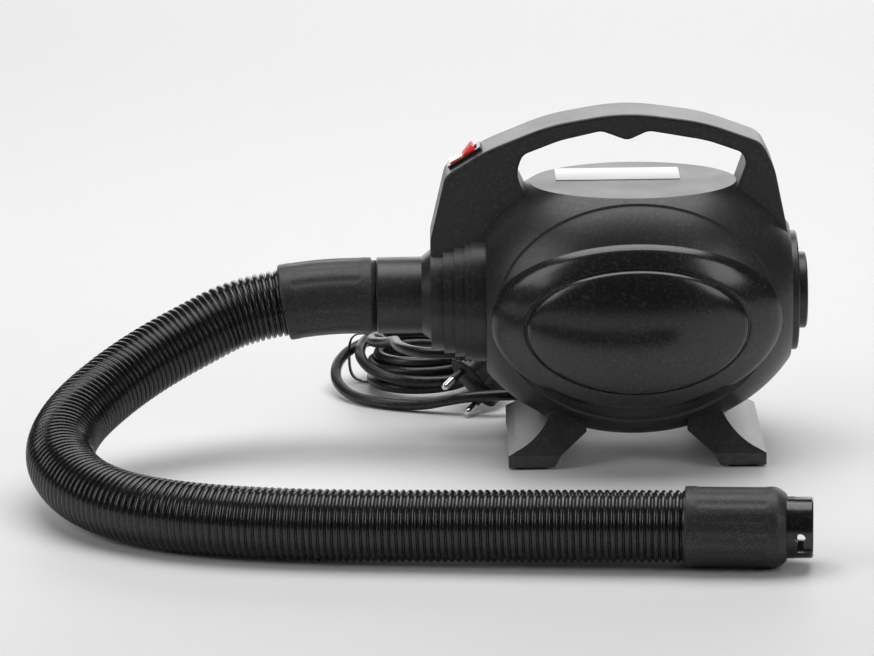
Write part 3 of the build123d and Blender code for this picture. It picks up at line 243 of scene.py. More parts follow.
# ------------------------------------------------------------------ shader groups
SPECK_FINER = 14.0          # specks of dust are this much finer than the patches
SPECK_FROM, SPECK_GAIN = 0.52, 6.0
RIDGE_FROM, RIDGE_GAIN = 0.52, 9.0
WEAR_SCALE = 300.0          # how finely worn edges are broken up
STRIPE_HEIGHT = 2.0         # height of a layer, counted in grains


class NodeSheet:
    """A node tree with short helpers for adding and wiring nodes."""

    def __init__(self, tree: bpy.types.NodeTree) -> None:
        """Wraps a tree that may be empty."""
        self.tree = tree

    def add(self, kind: str, **settings: object) -> bpy.types.Node:
        """Adds a node and sets its own properties."""
        node = self.tree.nodes.new(kind)
        for key, value in settings.items():
            setattr(node, key, value)
        return node

    def wire(self, source: bpy.types.NodeSocket, target: bpy.types.NodeSocket) -> None:
        """Joins two sockets."""
        self.tree.links.new(source, target)

    def maths(self, operation: str, first: object, second: object = 0.0,
              clamp: bool = False) -> bpy.types.NodeSocket:
        """Adds a Math node and gives its result socket."""
        node = self.add("ShaderNodeMath", operation=operation, use_clamp=clamp)
        for socket, value in zip(node.inputs, (first, second)):
            if isinstance(value, bpy.types.NodeSocket):
                self.wire(value, socket)
            else:
                socket.default_value = value
        return node.outputs[0]

    def noise(self, vector: bpy.types.NodeSocket, scale: object, detail: float = 3.0) -> bpy.types.NodeSocket:
        """Adds a noise texture and gives its Fac socket."""
        node = self.add("ShaderNodeTexNoise")
        self.wire(vector, node.inputs["Vector"])
        if isinstance(scale, bpy.types.NodeSocket):
            self.wire(scale, node.inputs["Scale"])
        else:
            node.inputs["Scale"].default_value = scale
        node.inputs["Detail"].default_value = detail
        return node.outputs["Fac"]


def shader_group(name: str, inputs: Sequence[tuple[str, str, object]],
                 outputs: Sequence[tuple[str, str]]) -> tuple[NodeSheet, bpy.types.Node, bpy.types.Node]:
    """Makes an empty shader node group.

    Args:
        name: the group's name.
        inputs: name, socket kind and starting value of each input.
        outputs: name and socket kind of each output.

    Returns:
        The group's sheet, its input node and its output node.
    """
    tree = bpy.data.node_groups.new(name, "ShaderNodeTree")
    for label, kind, value in inputs:
        socket = tree.interface.new_socket(label, in_out="INPUT", socket_type=kind)
        if value is not None:
            socket.default_value = value
    for label, kind in outputs:
        tree.interface.new_socket(label, in_out="OUTPUT", socket_type=kind)
    sheet = NodeSheet(tree)
    return sheet, sheet.add("NodeGroupInput"), sheet.add("NodeGroupOutput")


def make_moulded_group() -> bpy.types.NodeTree:
    """Builds the group for moulded surfaces: fine grain, uneven gloss and a mottled colour.

    Returns:
        The group, with outputs Color, Roughness and Height.
    """
    sheet, given, out = shader_group(
        "moulded_surface",
        [("Vector", "NodeSocketVector", None), ("Color", "NodeSocketColor", (0.02, 0.02, 0.02, 1)),
         ("Dust", "NodeSocketColor", (0.3, 0.3, 0.3, 1)), ("Dust Amount", "NodeSocketFloat", 0.1),
         ("Roughness", "NodeSocketFloat", 0.4), ("Unevenness", "NodeSocketFloat", 0.1),
         ("Grain Scale", "NodeSocketFloat", 2500.0), ("Patch Scale", "NodeSocketFloat", 40.0)],
        [("Color", "NodeSocketColor"), ("Roughness", "NodeSocketFloat"), ("Height", "NodeSocketFloat")])
    grain = sheet.noise(given.outputs["Vector"], given.outputs["Grain Scale"], 2.0)
    patches = sheet.noise(given.outputs["Vector"], given.outputs["Patch Scale"], 5.0)
    fine_scale = sheet.maths("MULTIPLY", given.outputs["Patch Scale"], SPECK_FINER)
    specks = sheet.noise(given.outputs["Vector"], fine_scale, 2.0)
    swing = sheet.maths("SUBTRACT", patches, 0.5)
    rough = sheet.maths("ADD", given.outputs["Roughness"],
                        sheet.maths("MULTIPLY", swing, given.outputs["Unevenness"]), clamp=True)
    sheet.wire(rough, out.inputs["Roughness"])
    sheet.wire(grain, out.inputs["Height"])
    above = sheet.maths("SUBTRACT", specks, SPECK_FROM, clamp=True)
    spots = sheet.maths("MULTIPLY", above, SPECK_GAIN, clamp=True)
    dusty = sheet.maths("MULTIPLY", spots, patches)
    amount = sheet.maths("MULTIPLY", dusty, given.outputs["Dust Amount"], clamp=True)
    mix = sheet.add("ShaderNodeMix", data_type="RGBA")
    sheet.wire(amount, mix.inputs["Factor"])
    sheet.wire(given.outputs["Color"], mix.inputs[6])
    sheet.wire(given.outputs["Dust"], mix.inputs[7])
    sheet.wire(mix.outputs[2], out.inputs["Color"])
    return sheet.tree


def make_wear_group() -> bpy.types.NodeTree:
    """Builds the group that finds exposed edges, broken up by noise.

    Returns:
        The group, with one output, Mask.
    """
    sheet, given, out = shader_group(
        "edge_wear", [("Vector", "NodeSocketVector", None), ("Amount", "NodeSocketFloat", 0.5)],
        [("Mask", "NodeSocketFloat")])
    geometry = sheet.add("ShaderNodeNewGeometry")
    above = sheet.maths("SUBTRACT", geometry.outputs["Pointiness"], RIDGE_FROM, clamp=True)
    ridge = sheet.maths("MULTIPLY", above, RIDGE_GAIN, clamp=True)
    broken = sheet.maths("MULTIPLY", ridge, sheet.noise(given.outputs["Vector"], WEAR_SCALE, 4.0))
    sheet.wire(sheet.maths("MULTIPLY", broken, given.outputs["Amount"], clamp=True), out.inputs["Mask"])
    return sheet.tree


MOULDED = make_moulded_group()
WEAR = make_wear_group()


# ------------------------------------------------------------------ finishes
@dataclass(frozen=True)
class Finish:
    """A surface finish made of a moulded or worked material."""

    name: str
    color: tuple[float, float, float]
    roughness: float = 0.4
    metallic: float = 0.0
    unevenness: float = 0.12
    grain_scale: float = 2500.0
    grain_depth: float = 0.00002
    patch_scale: float = 40.0
    dust: tuple[float, float, float] = (0.22, 0.22, 0.22)
    dust_amount: float = 0.05
    wear: float = 0.0
    wear_color: tuple[float, float, float] = (0.12, 0.12, 0.12)
    coat: float = 0.0
    coat_roughness: float = 0.1
    specular: float = 0.5
    # strength of a painted glow: emission on a part that is no lamp
    painted_glow: float = 0.0
    stripes: float = 0.0

    def build(self) -> bpy.types.Material:
        """Makes the material, once, and gives it."""
        made = bpy.data.materials.get(self.name)
        if made:
            return made
        made = bpy.data.materials.new(self.name)
        made.use_nodes = True
        made.node_tree.nodes.clear()
        sheet = NodeSheet(made.node_tree)
        shader = sheet.add("ShaderNodeBsdfPrincipled")
        place = sheet.add("ShaderNodeTexCoord").outputs["Object"]
        surface = sheet.add("ShaderNodeGroup", node_tree=MOULDED)
        sheet.wire(place, surface.inputs["Vector"])
        surface.inputs["Color"].default_value = (*self.color, 1)
        surface.inputs["Dust"].default_value = (*self.dust, 1)
        surface.inputs["Dust Amount"].default_value = self.dust_amount
        surface.inputs["Roughness"].default_value = self.roughness
        surface.inputs["Unevenness"].default_value = self.unevenness
        surface.inputs["Grain Scale"].default_value = self.grain_scale
        surface.inputs["Patch Scale"].default_value = self.patch_scale
        color = surface.outputs["Color"]
        if self.wear:
            color = self.add_wear(sheet, place, color)
        sheet.wire(color, shader.inputs["Base Color"])
        sheet.wire(surface.outputs["Roughness"], shader.inputs["Roughness"])
        bump = sheet.add("ShaderNodeBump")
        bump.inputs["Strength"].default_value = 1.0
        bump.inputs["Distance"].default_value = self.grain_depth
        height = surface.outputs["Height"]
        if self.stripes:
            height = self.add_stripes(sheet, place, height)
        sheet.wire(height, bump.inputs["Height"])
        sheet.wire(bump.outputs["Normal"], shader.inputs["Normal"])
        shader.inputs["Metallic"].default_value = self.metallic
        shader.inputs["Coat Weight"].default_value = self.coat
        shader.inputs["Coat Roughness"].default_value = self.coat_roughness
        shader.inputs["Specular IOR Level"].default_value = self.specular
        # Emission in the finish's own colour paints a glow on the part, which is no lamp.
        shader.inputs["Emission Color"].default_value = (*self.color, 1)
        shader.inputs["Emission Strength"].default_value = self.painted_glow
        sheet.wire(shader.outputs["BSDF"], sheet.add("ShaderNodeOutputMaterial").inputs["Surface"])
        return made

    def add_wear(self, sheet: NodeSheet, place: bpy.types.NodeSocket,
                 color: bpy.types.NodeSocket) -> bpy.types.NodeSocket:
        """Lightens the exposed edges and gives the new colour socket."""
        worn = sheet.add("ShaderNodeGroup", node_tree=WEAR)
        sheet.wire(place, worn.inputs["Vector"])
        worn.inputs["Amount"].default_value = self.wear
        mix = sheet.add("ShaderNodeMix", data_type="RGBA")
        sheet.wire(worn.outputs["Mask"], mix.inputs["Factor"])
        sheet.wire(color, mix.inputs[6])
        mix.inputs[7].default_value = (*self.wear_color, 1)
        return mix.outputs[2]

    def add_stripes(self, sheet: NodeSheet, place: bpy.types.NodeSocket,
                    height: bpy.types.NodeSocket) -> bpy.types.NodeSocket:
        """Adds stacked layers along X to the height, as on laminations and windings."""
        wave = sheet.add("ShaderNodeTexWave", wave_type="BANDS", bands_direction="X")
        sheet.wire(place, wave.inputs["Vector"])
        wave.inputs["Scale"].default_value = self.stripes
        return sheet.maths("ADD", height, sheet.maths("MULTIPLY", wave.outputs["Fac"], STRIPE_HEIGHT))


HOUSING = Finish("housing_satin_black", (0.018, 0.018, 0.019), 0.36, grain_scale=1800, grain_depth=0.000012,
                 dust_amount=0.18, wear=0.35, unevenness=0.16)
COVER = Finish("cover_smooth_black", (0.012, 0.012, 0.013), 0.24, grain_scale=1400, grain_depth=0.000008,
               dust_amount=0.16, wear=0.3, unevenness=0.14, coat=0.15, coat_roughness=0.12)
STAND = Finish("stand_satin_black", (0.020, 0.020, 0.021), 0.33, dust_amount=0.25, wear=0.4)
HOSE = Finish("hose_gloss_black", (0.010, 0.010, 0.011), 0.20, grain_depth=0.000006, dust_amount=0.12,
              unevenness=0.1, specular=0.55)
CUFF = Finish("cuff_dusty_rubber", (0.017, 0.017, 0.017), 0.50, grain_scale=1200, grain_depth=0.00004,
              dust=(0.16, 0.16, 0.16), dust_amount=0.6, patch_scale=90, wear=0.6, unevenness=0.25)
NOZZLE = Finish("nozzle_gloss_black", (0.010, 0.010, 0.011), 0.18, dust_amount=0.1, wear=0.3)
RUBBER = Finish("rubber_black", (0.012, 0.012, 0.012), 0.62, dust_amount=0.3, unevenness=0.2)
SHEATH = Finish("lead_sheath", (0.011, 0.011, 0.011), 0.34, grain_depth=0.00002, dust_amount=0.2)
PLUG = Finish("plug_moulded_black", (0.012, 0.012, 0.012), 0.36, grain_depth=0.00003, dust_amount=0.2,
              wear=0.3)
BRIGHT = Finish("bright_nickel", (0.78, 0.77, 0.75), 0.16, metallic=1.0, unevenness=0.1, grain_depth=0.000003,
                dust_amount=0.02)
# Painted shade: black sleeves at the roots of the bare metal pins stand in for the shadow there.
PIN_ROOT_SHADE = Finish("pin_root_painted_shade", (0.015, 0.015, 0.015), 0.45)
PAPER = Finish("blank_label", (0.62, 0.62, 0.61), 0.34, dust=(0.45, 0.45, 0.44), dust_amount=0.25, coat=0.2,
               grain_depth=0.000006)
SWITCH = Finish("switch_gloss_black", (0.012, 0.012, 0.012), 0.22, wear=0.2)
# Painted light: the red rocker gets an emission glow so it looks brighter, though it holds no lamp.
RED = Finish("rocker_red_painted_glow", (0.90, 0.018, 0.012), 0.16, unevenness=0.05, grain_depth=0.000003,
             dust_amount=0.0, coat=0.7, coat_roughness=0.05, painted_glow=0.35)
BRASS = Finish("terminal_brass", (0.70, 0.53, 0.26), 0.3, metallic=1.0, dust_amount=0.02)
ZINC = Finish("zinc_screw", (0.60, 0.60, 0.62), 0.32, metallic=1.0, dust_amount=0.05, wear=0.2)
STEEL = Finish("ground_steel", (0.56, 0.56, 0.57), 0.22, metallic=1.0, grain_depth=0.000006, dust_amount=0.0)
LAMINATED = Finish("laminated_steel", (0.28, 0.28, 0.30), 0.42, metallic=1.0, stripes=600,
                   grain_depth=0.00006)
COPPER = Finish("enamelled_copper", (0.55, 0.20, 0.07), 0.28, metallic=1.0, stripes=450, grain_depth=0.0002,
                dust_amount=0.0)
CAST = Finish("cast_aluminium", (0.60, 0.61, 0.62), 0.40, metallic=1.0, grain_scale=900, grain_depth=0.00005)
FAN = Finish("fan_moulding", (0.06, 0.06, 0.065), 0.45, dust_amount=0.1)
CARBON = Finish("pressed_carbon", (0.03, 0.03, 0.03), 0.6, grain_depth=0.00005)
CAPACITOR = Finish("capacitor_case", (0.70, 0.48, 0.06), 0.4)
WIRE = Finish("wire_brown", (0.16, 0.06, 0.03), 0.4)

NODE_FINISH: dict[str, Finish] = {
    "shell_front": HOUSING, "shell_back": HOUSING, "outlet_tube": HOUSING, "intake_flange": HOUSING,
    "intake_port": HOUSING, "intake_grille": HOUSING, "side_cover_front": COVER, "side_cover_back": COVER,
    "stand_left": STAND, "stand_right": STAND, "foot_pads": RUBBER, "outlet_seal": RUBBER,
    "motor_mount_front": RUBBER, "motor_mount_rear": RUBBER, "stand_screws": ZINC, "shell_screws": ZINC,
    "intake_screws": ZINC, "motor_screws": ZINC, "clamp_screws": ZINC, "fan_nut": ZINC, "rating_label": PAPER,
    "switch_frame": SWITCH, "switch_rocker": RED, "switch_terminals": BRASS, "brush_holders": BRASS,
    "stator_core": LAMINATED, "armature_core": LAMINATED, "field_coils": COPPER, "armature_winding": COPPER,
    "commutator": COPPER, "motor_bracket_front": CAST, "motor_bracket_rear": CAST, "bearing_front": STEEL,
    "bearing_rear": STEEL, "motor_shaft": STEEL, "carbon_brushes": CARBON, "fan_wheel": FAN,
    "fan_diffuser": FAN, "fan_shroud": FAN, "cable_clamp": FAN, "capacitor": CAPACITOR, "inner_leads": WIRE,
    # pin_sleeves is dressed in painted shade, a black finish standing in for the shadow at the pin roots.
    "plug_pins": BRIGHT, "pin_sleeves": PIN_ROOT_SHADE, "hose_nozzle": NOZZLE,
}


def dress(piece: bpy.types.Object, finish: Finish) -> None:
    """Gives every material slot of a piece one finish."""
    material = finish.build()
    if not piece.data.materials:
        piece.data.materials.append(material)
    for slot in piece.material_slots:
        slot.link = "OBJECT"
        slot.material = material


def place_piece(piece: bpy.types.Object, finish: Finish, body: Body, slot: str, *nodes: str) -> None:
    """Dresses a new piece, ties it to its body and hides the CAD nodes it stands for."""
    dress(piece, finish)
    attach(piece, body.value)
    if nodes:
        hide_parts(*nodes)
    log.info("%s: %d faces", piece.name, len(piece.data.polygons) if piece.type == "MESH" else 0)


# ------------------------------------------------------------------ ribs that follow a line
@dataclass
class RibbedTube:
    """A tube whose ribs follow a line, made by Geometry Nodes."""

    start_radius: float
    end_radius: float
    pitch: float
    depth: float
    steps: int = 10
    around: int = 36
    roundness: float = 0.55

    def tree(self, material: bpy.types.Material) -> bpy.types.NodeTree:
        """Builds the node tree with named inputs for the tube's sizes.

        Args:
            material: what the tube is made of.

        Returns:
            The tree.
        """
        made = bpy.data.node_groups.new("ribbed_tube", "GeometryNodeTree")
        face = made.interface
        face.new_socket("Geometry", in_out="INPUT", socket_type="NodeSocketGeometry")
        for label in ("Start Radius", "End Radius", "Pitch", "Depth", "Roundness", "Step"):
            face.new_socket(label, in_out="INPUT", socket_type="NodeSocketFloat")
        face.new_socket("Around", in_out="INPUT", socket_type="NodeSocketInt")
        face.new_socket("Geometry", in_out="OUTPUT", socket_type="NodeSocketGeometry")
        sheet = NodeSheet(made)
        given, out = sheet.add("NodeGroupInput"), sheet.add("NodeGroupOutput")
        even = sheet.add("GeometryNodeResampleCurve", mode="LENGTH")
        sheet.wire(given.outputs["Geometry"], even.inputs["Curve"])
        sheet.wire(given.outputs["Step"], even.inputs["Length"])
        along = sheet.add("GeometryNodeSplineParameter")
        rib_count = sheet.maths("DIVIDE", along.outputs["Length"], given.outputs["Pitch"])
        wave = sheet.maths("ABSOLUTE", sheet.maths("SINE", sheet.maths("MULTIPLY", rib_count, math.pi)))
        ridge = sheet.maths("POWER", wave, given.outputs["Roundness"])
        change = sheet.maths("SUBTRACT", given.outputs["End Radius"], given.outputs["Start Radius"])
        taper = sheet.maths("MULTIPLY", along.outputs["Factor"], change)
        outer = sheet.maths("ADD", given.outputs["Start Radius"], taper)
        groove = sheet.maths("MULTIPLY", given.outputs["Depth"], sheet.maths("SUBTRACT", 1.0, ridge))
        radius = sheet.maths("SUBTRACT", outer, groove)
        ring = sheet.add("GeometryNodeCurvePrimitiveCircle")
        ring.inputs["Radius"].default_value = 1.0
        sheet.wire(given.outputs["Around"], ring.inputs["Resolution"])
        skin = sheet.add("GeometryNodeCurveToMesh")
        sheet.wire(even.outputs["Curve"], skin.inputs["Curve"])
        sheet.wire(ring.outputs["Curve"], skin.inputs["Profile Curve"])
        skin.inputs["Fill Caps"].default_value = True
        sheet.wire(radius, skin.inputs["Scale"])
        smooth = sheet.add("GeometryNodeSetShadeSmooth")
        sheet.wire(skin.outputs["Mesh"], smooth.inputs["Geometry"])
        real = sheet.add("GeometryNodeRealizeInstances")
        sheet.wire(smooth.outputs["Geometry"], real.inputs["Geometry"])
        coat = sheet.add("GeometryNodeSetMaterial")
        coat.inputs["Material"].default_value = material
        sheet.wire(real.outputs["Geometry"], coat.inputs["Geometry"])
        sheet.wire(coat.outputs["Geometry"], out.inputs["Geometry"])
        return made

    def build(self, name: str, line: Sequence[Vector], finish: Finish) -> bpy.types.Object:
        """Makes the tube along a line as a plain mesh.

        Args:
            name: the piece's name.
            line: close points that the tube's middle follows.
            finish: what it is made of.

        Returns:
            The mesh object.
        """
        data = bpy.data.curves.new(name + "_line", "CURVE")
        data.dimensions = "3D"
        spline = data.splines.new("POLY")
        spline.points.add(len(line) - 1)
        for knot, place in zip(spline.points, line):
            knot.co = (*place, 1.0)
        host = add_object(name + "_line", data)
        modifier = host.modifiers.new("ribs", "NODES")
        modifier.node_group = self.tree(finish.build())
        values = {"Start Radius": self.start_radius, "End Radius": self.end_radius, "Pitch": self.pitch,
                  "Depth": self.depth, "Roundness": self.roundness, "Step": self.pitch / self.steps,
                  "Around": self.around}
        for item in modifier.node_group.interface.items_tree:
            if item.in_out == "INPUT" and item.name in values:
                modifier[item.identifier] = values[item.name]
        graph = bpy.context.evaluated_depsgraph_get()
        mesh = bpy.data.meshes.new_from_object(host.evaluated_get(graph))
        bpy.data.objects.remove(host)
        mesh.name = name
        return add_object(name, mesh)


# ------------------------------------------------------------------ studio
@dataclass
class Studio:
    """Camera, pale floor and soft lights."""

    aim: Point = (-108.0, 0.0, 67.0)
    distance: float = 2.75
    elevation: float = 14.5
    roll: float = 0.8
    focal: float = 205.9
    sensor: float = 36.0
    floor_half: float = 4.0
    floor_tone: float = 0.74

    def build(self) -> None:
        """Makes the camera, the floor and the lights."""
        self.add_camera()
        self.add_floor()
        self.add_world()
        self.add_light("softbox_top", (0.0, 0.25, 1.6), (0.0, 0.0, 0.05), (1.8, 1.2), 26.0)
        self.add_light("softbox_left", (-1.5, -0.7, 1.0), (-0.05, 0.0, 0.08), (1.0, 1.0), 9.0)
        self.add_light("softbox_right", (1.4, -1.0, 0.9), (0.0, 0.0, 0.08), (0.7, 0.9), 6.0)
        self.add_light("softbox_back", (0.2, 2.2, 0.75), (0.0, 0.0, 0.1), (3.0, 1.3), 28.0)

    def add_camera(self) -> None:
        """Places the camera on its line of sight, with a slight roll."""
        tilt, roll = math.radians(self.elevation), math.radians(self.roll)
        look = Vector((0, math.cos(tilt), -math.sin(tilt)))
        level_up = Vector((0, math.sin(tilt), math.cos(tilt)))
        right = Vector((1, 0, 0)) * math.cos(roll) - level_up * math.sin(roll)
        up = Vector((1, 0, 0)) * math.sin(roll) + level_up * math.cos(roll)
        data = bpy.data.cameras.new("camera")
        data.lens, data.sensor_width = self.focal, self.sensor
        data.clip_end = 20.0
        camera = add_object("camera", data)
        camera.location = from_middle([self.aim])[0] - look * self.distance
        turn = camera.rotation_euler.to_matrix()
        for row in range(3):
            turn[row] = (right[row], up[row], -look[row])
        camera.rotation_euler = turn.to_euler()
        bpy.context.scene.camera = camera

    def add_floor(self) -> None:
        """Makes the wide pale floor."""
        half = self.floor_half
        corners = ((-half, -half), (half, -half), (half, half), (-half, half))
        floor = add_mesh("floor", [Vector((x, y, 0)) for x, y in corners], [(0, 1, 2, 3)])
        dress(floor, Finish("pale_floor", (self.floor_tone,) * 3, 0.55, dust_amount=0.0, unevenness=0.05,
                            grain_depth=0.0, specular=0.3))

    def add_world(self) -> None:
        """Lights the room evenly from a pale sky that is darker in front and below."""
        world = bpy.data.worlds.new("studio_sky")
        bpy.context.scene.world = world
        world.use_nodes = True
        sheet = NodeSheet(world.node_tree)
        back = world.node_tree.nodes["Background"]
        split = sheet.add("ShaderNodeSeparateXYZ")
        sheet.wire(sheet.add("ShaderNodeTexCoord").outputs["Generated"], split.inputs[0])
        rise = sheet.maths("ADD", sheet.maths("MULTIPLY", split.outputs["Z"], 0.35),
                           sheet.maths("MULTIPLY", split.outputs["Y"], 0.20))
        sheet.wire(sheet.maths("ADD", rise, 0.50, clamp=True), back.inputs["Strength"])
        bpy.context.scene.view_settings.view_transform = "Standard"

    def add_light(self, name: str, place: Point, target: Point, size: tuple[float, float],
                  watts: float) -> None:
        """Adds one soft rectangular light.

        Args:
            name: the light's name.
            place: where it stands, in metres.
            target: what it points at.
            size: its width and height in metres.
            watts: its power.
        """
        data = bpy.data.lights.new(name, "AREA")
        data.shape = "RECTANGLE"
        data.size, data.size_y = size
        data.energy = watts
        lamp = add_object(name, data)
        lamp.location = place
        lamp.rotation_euler = (Vector(target) - Vector(place)).to_track_quat("-Z", "Y").to_euler()


# ------------------------------------------------------------------ mains lead
@dataclass
class MainsLead:
    """The mains lead from its strain relief through a loose bundle to the plug."""

    radius: float = 3.1 * MM
    declared_length: float = 1.55
    points_per_turn: int = 14
    coil_middle: tuple[float, float] = (-116.0, 127.0)
    inner_radius: float = 28.5
    sway: float = 2.0
    outer_radius: float = 37.0
    bundle_turn: tuple[float, float] = (195.0, 61.7 - 4 * 360)
    bundle_heights: tuple[tuple[float, float], ...] = ((0, 28.3), (0.05, 23.5), (0.95, 4.3), (1, 5.0))
    loose_turn: tuple[float, float] = (128.0, 64.0 - 360)
    loose_heights: tuple[tuple[float, float], ...] = (
        (0, 21), (0.15, 17.5), (0.45, 11.5), (0.6, 13), (0.85, 26), (1, 28.3))
    plug_face: Point = (-88.5, 72.2, 15.4)
    plug_point: Vector = field(default_factory=lambda: Vector((-0.5215, -0.8023, -0.2908)).normalized())
    plug_across: Vector = field(default_factory=lambda: Vector((0.657, -0.160, -0.737)))
    plug_half: tuple[float, float] = (17.7 * MM, 6.9 * MM)
    plug_length: float = 36.0 * MM
    flat_end: float = 30 * MM
    flat_fade: float = 10 * MM
    flat_from: float = 0.3
    flatness: float = 0.15
    grip_span: tuple[float, float] = (9 * MM, 19 * MM)
    grip_pitch: float = 1.25 * MM
    grip_depth: float = 0.35 * MM
    tail_length: float = 16.0 * MM
    gland_place: Point = (-77.5, 32.0, 44.0)
    gland_length: float = 20.5 * MM
    tie_turn: float = 165.0
    tie_out: float = 32.6 * MM
    tie_high: float = 15.0 * MM
    tie_half: tuple[float, float] = (12.0 * MM, 14.3 * MM)
    tie_section: tuple[float, float] = (2.2 * MM, 0.55 * MM)
    tie_squareness: float = 0.6
    lead_route: Route = field(default_factory=lambda: [
        (-98, 32, 44), (-110, 32, 44), (-122, 39.5, 43.5), (-129.5, 54, 42.5), (-132, 73, 40.5),
        (-131.5, 92, 36), (-138, 107, 31), (-145.2, 119, 28.3)])
    loop_route: Route = field(default_factory=lambda: [
        (-139.5, 157, 21), (-153, 149, 20), (-165.5, 133, 15), (-167.5, 112, 8), (-158, 92, 3.6),
        (-140, 77, 3.3), (-117, 69, 3.9), (-100, 64.5, 8.5), (-84, 60, 11.6), (-66, 60.5, 11.5), (-52, 73, 8),
        (-44, 94, 3.5), (-43, 119, 3.3), (-54, 143, 3.3), (-73, 160, 4.5), (-95, 166, 5.5)])
    tail_route: Route = field(default_factory=lambda: [
        (-61.2, 114.2, 30.1), (-53.5, 127, 34), (-50, 142, 36), (-56, 159, 36.5), (-74, 170, 33),
        (-97, 166, 28.3)])

    def wind(self, start: float, end: float, radii: Sequence[tuple[float, float]],
             heights: Sequence[tuple[float, float]], sway: float) -> Route:
        """Points of coil turns between two angles, without both ends.

        Args:
            start: first angle in degrees, counted anticlockwise from above.
            end: last angle, smaller than the first for clockwise turns.
            radii: stations of the radius along the turns, in millimetres.
            heights: stations of the height along the turns.
            sway: how far neighbouring turns differ in radius.

        Returns:
            The points, from the housing middle.
        """
        count = round(abs(end - start) / 360 * self.points_per_turn)
        made: Route = []
        for i in range(1, count):
            t = i / count
            angle = math.radians(start + (end - start) * t)
            far = blend_value(radii, t) + sway * math.cos(math.radians(end - start) * t / 2)
            across, back = far * math.cos(angle), far * math.sin(angle)
            made.append((self.coil_middle[0] + across, self.coil_middle[1] + back, blend_value(heights, t)))
        return made

    def route(self) -> list[Vector]:
        """The whole lead's control points, from the strain relief to the plug."""
        tight, wide = self.inner_radius, self.outer_radius
        first = self.wind(*self.bundle_turn, [(0, 29.5), (0.05, tight), (0.93, tight), (0.97, 35), (1, 42)],
                          self.bundle_heights, self.sway)
        second = self.wind(*self.loose_turn, [(0, 38), (0.12, wide), (0.7, wide), (1, 43)],
                           self.loose_heights, 0.0)
        points = self.lead_route + first + self.loop_route[::-1] + second + self.tail_route[::-1]
        return from_middle(points)

    def build(self) -> None:
        route = self.route()
        lead = spline_curve("mains_lead_sheath", route, self.radius)
        place_piece(lead, SHEATH, Body.HOUSING, "lead_pvc",
                    "mains_lead", "mains_loop", "mains_tail", "mains_coil")
        gland = self.build_gland()
        tie = self.build_tie()
        plug = self.build_plug()
        measured = length_of(line_of(spline_curve("lead_line", route)))
        log.info("mains lead: %.3f m along its middle", measured)

    def build_gland(self) -> bpy.types.Object:
        """Makes the ribbed, tapered strain relief at the housing."""
        root = from_middle([self.gland_place])[0]
        out = Vector((-1, 0, 0))
        inside, rim_r, root_r, tip_r = 6 * MM, 7.0 * MM, 5.4 * MM, 4.0 * MM
        stations = [(0, tip_r), (inside, tip_r), (inside, rim_r - 0.4 * MM), (inside + 0.4 * MM, rim_r),
                    (inside + 2.1 * MM, rim_r), (inside + 2.5 * MM, rim_r - 0.4 * MM),
                    (inside + 2.6 * MM, root_r)]
        ribs, rib_from = 6, inside + 3.0 * MM
        pitch = (self.gland_length - 4.5 * MM) / ribs
        tops = [root_r + (tip_r + 0.3 * MM - root_r) * i / ribs for i in range(ribs)]
        stations += rib_stations(rib_from, pitch, tops, 0.65)
        end = inside + self.gland_length
        stations += [(end - 0.4 * MM, tip_r), (end, tip_r - 0.4 * MM)]
        places = [s[0] for s in stations]
        for i in range(1, len(places)):
            places[i] = max(places[i], places[i - 1] + 1e-6)
        sizes = list(zip(places, [s[1] for s in stations]))
        path = straight(root - out * inside, out, places)
        piece = sweep_rings("strain_relief", path, Vector((0, 0, 1)), 32,
                            lambda run, turn: (blend_value(sizes, run),) * 2)
        place_piece(piece, RUBBER, Body.HOUSING, "lead_pvc", "mains_gland")
        return piece

    def build_tie(self) -> bpy.types.Object:
        """Makes the flat tie round one side of the bundle."""
        turn = math.radians(self.tie_turn)
        out = Vector((math.cos(turn), math.sin(turn), 0))
        along = Vector((-out.y, out.x, 0))
        coil = from_middle([(*self.coil_middle, 0.0)])[0]
        middle = coil + out * self.tie_out + Vector((0, 0, self.tie_high))
        half_wide, half_high = self.tie_half
        steps, start = 40, 0.2 - math.pi / 2
        loop = []
        for i in range(steps + 1):
            angle = 2 * math.pi * i / steps + start
            x = half_wide * math.copysign(abs(math.cos(angle)) ** self.tie_squareness, math.cos(angle))
            z = half_high * math.copysign(abs(math.sin(angle)) ** self.tie_squareness, math.sin(angle))
            loop.append(middle + out * x + Vector((0, 0, z)))
        band = sweep_rings("lead_twist_tie", loop, along, 10, lambda run, angle: self.tie_section)
        place_piece(band, PLUG, Body.HOUSING, "tie_plastic", "lead_tie")
        return band

    def build_plug(self) -> bpy.types.Object:
        """Makes the two-pin plug's body with its finger grip and ribbed tail."""
        face = from_middle([self.plug_face])[0]
        wide, high = self.plug_half
        sizes_w = [(0, wide - 1.2 * MM), (0.6 * MM, wide - 0.3 * MM), (1.6 * MM, wide), (15 * MM, wide),
                   (20 * MM, wide - 0.8 * MM), (26 * MM, 14.2 * MM), (31 * MM, 10.5 * MM),
                   (35 * MM, 8.2 * MM), (36.4 * MM, 6.6 * MM)]
        sizes_h = [(0, high - 1.2 * MM), (0.6 * MM, high - 0.3 * MM), (1.6 * MM, high), (15 * MM, high),
                   (22 * MM, 6.2 * MM), (30 * MM, 5.9 * MM), (35 * MM, 6.0 * MM), (36.4 * MM, 5.4 * MM)]
        end = self.plug_length + self.tail_length
        neck, tip, ribs = 5.6 * MM, 4.1 * MM, 5
        rib_from = self.plug_length + 1.2 * MM
        pitch = (end - rib_from) / ribs
        tops = [neck + (tip - neck) * i / ribs for i in range(ribs)]
        for sizes in (sizes_w, sizes_h):
            sizes += rib_stations(rib_from, pitch, tops, 0.7)
            sizes.append((end, tip - 0.5 * MM))

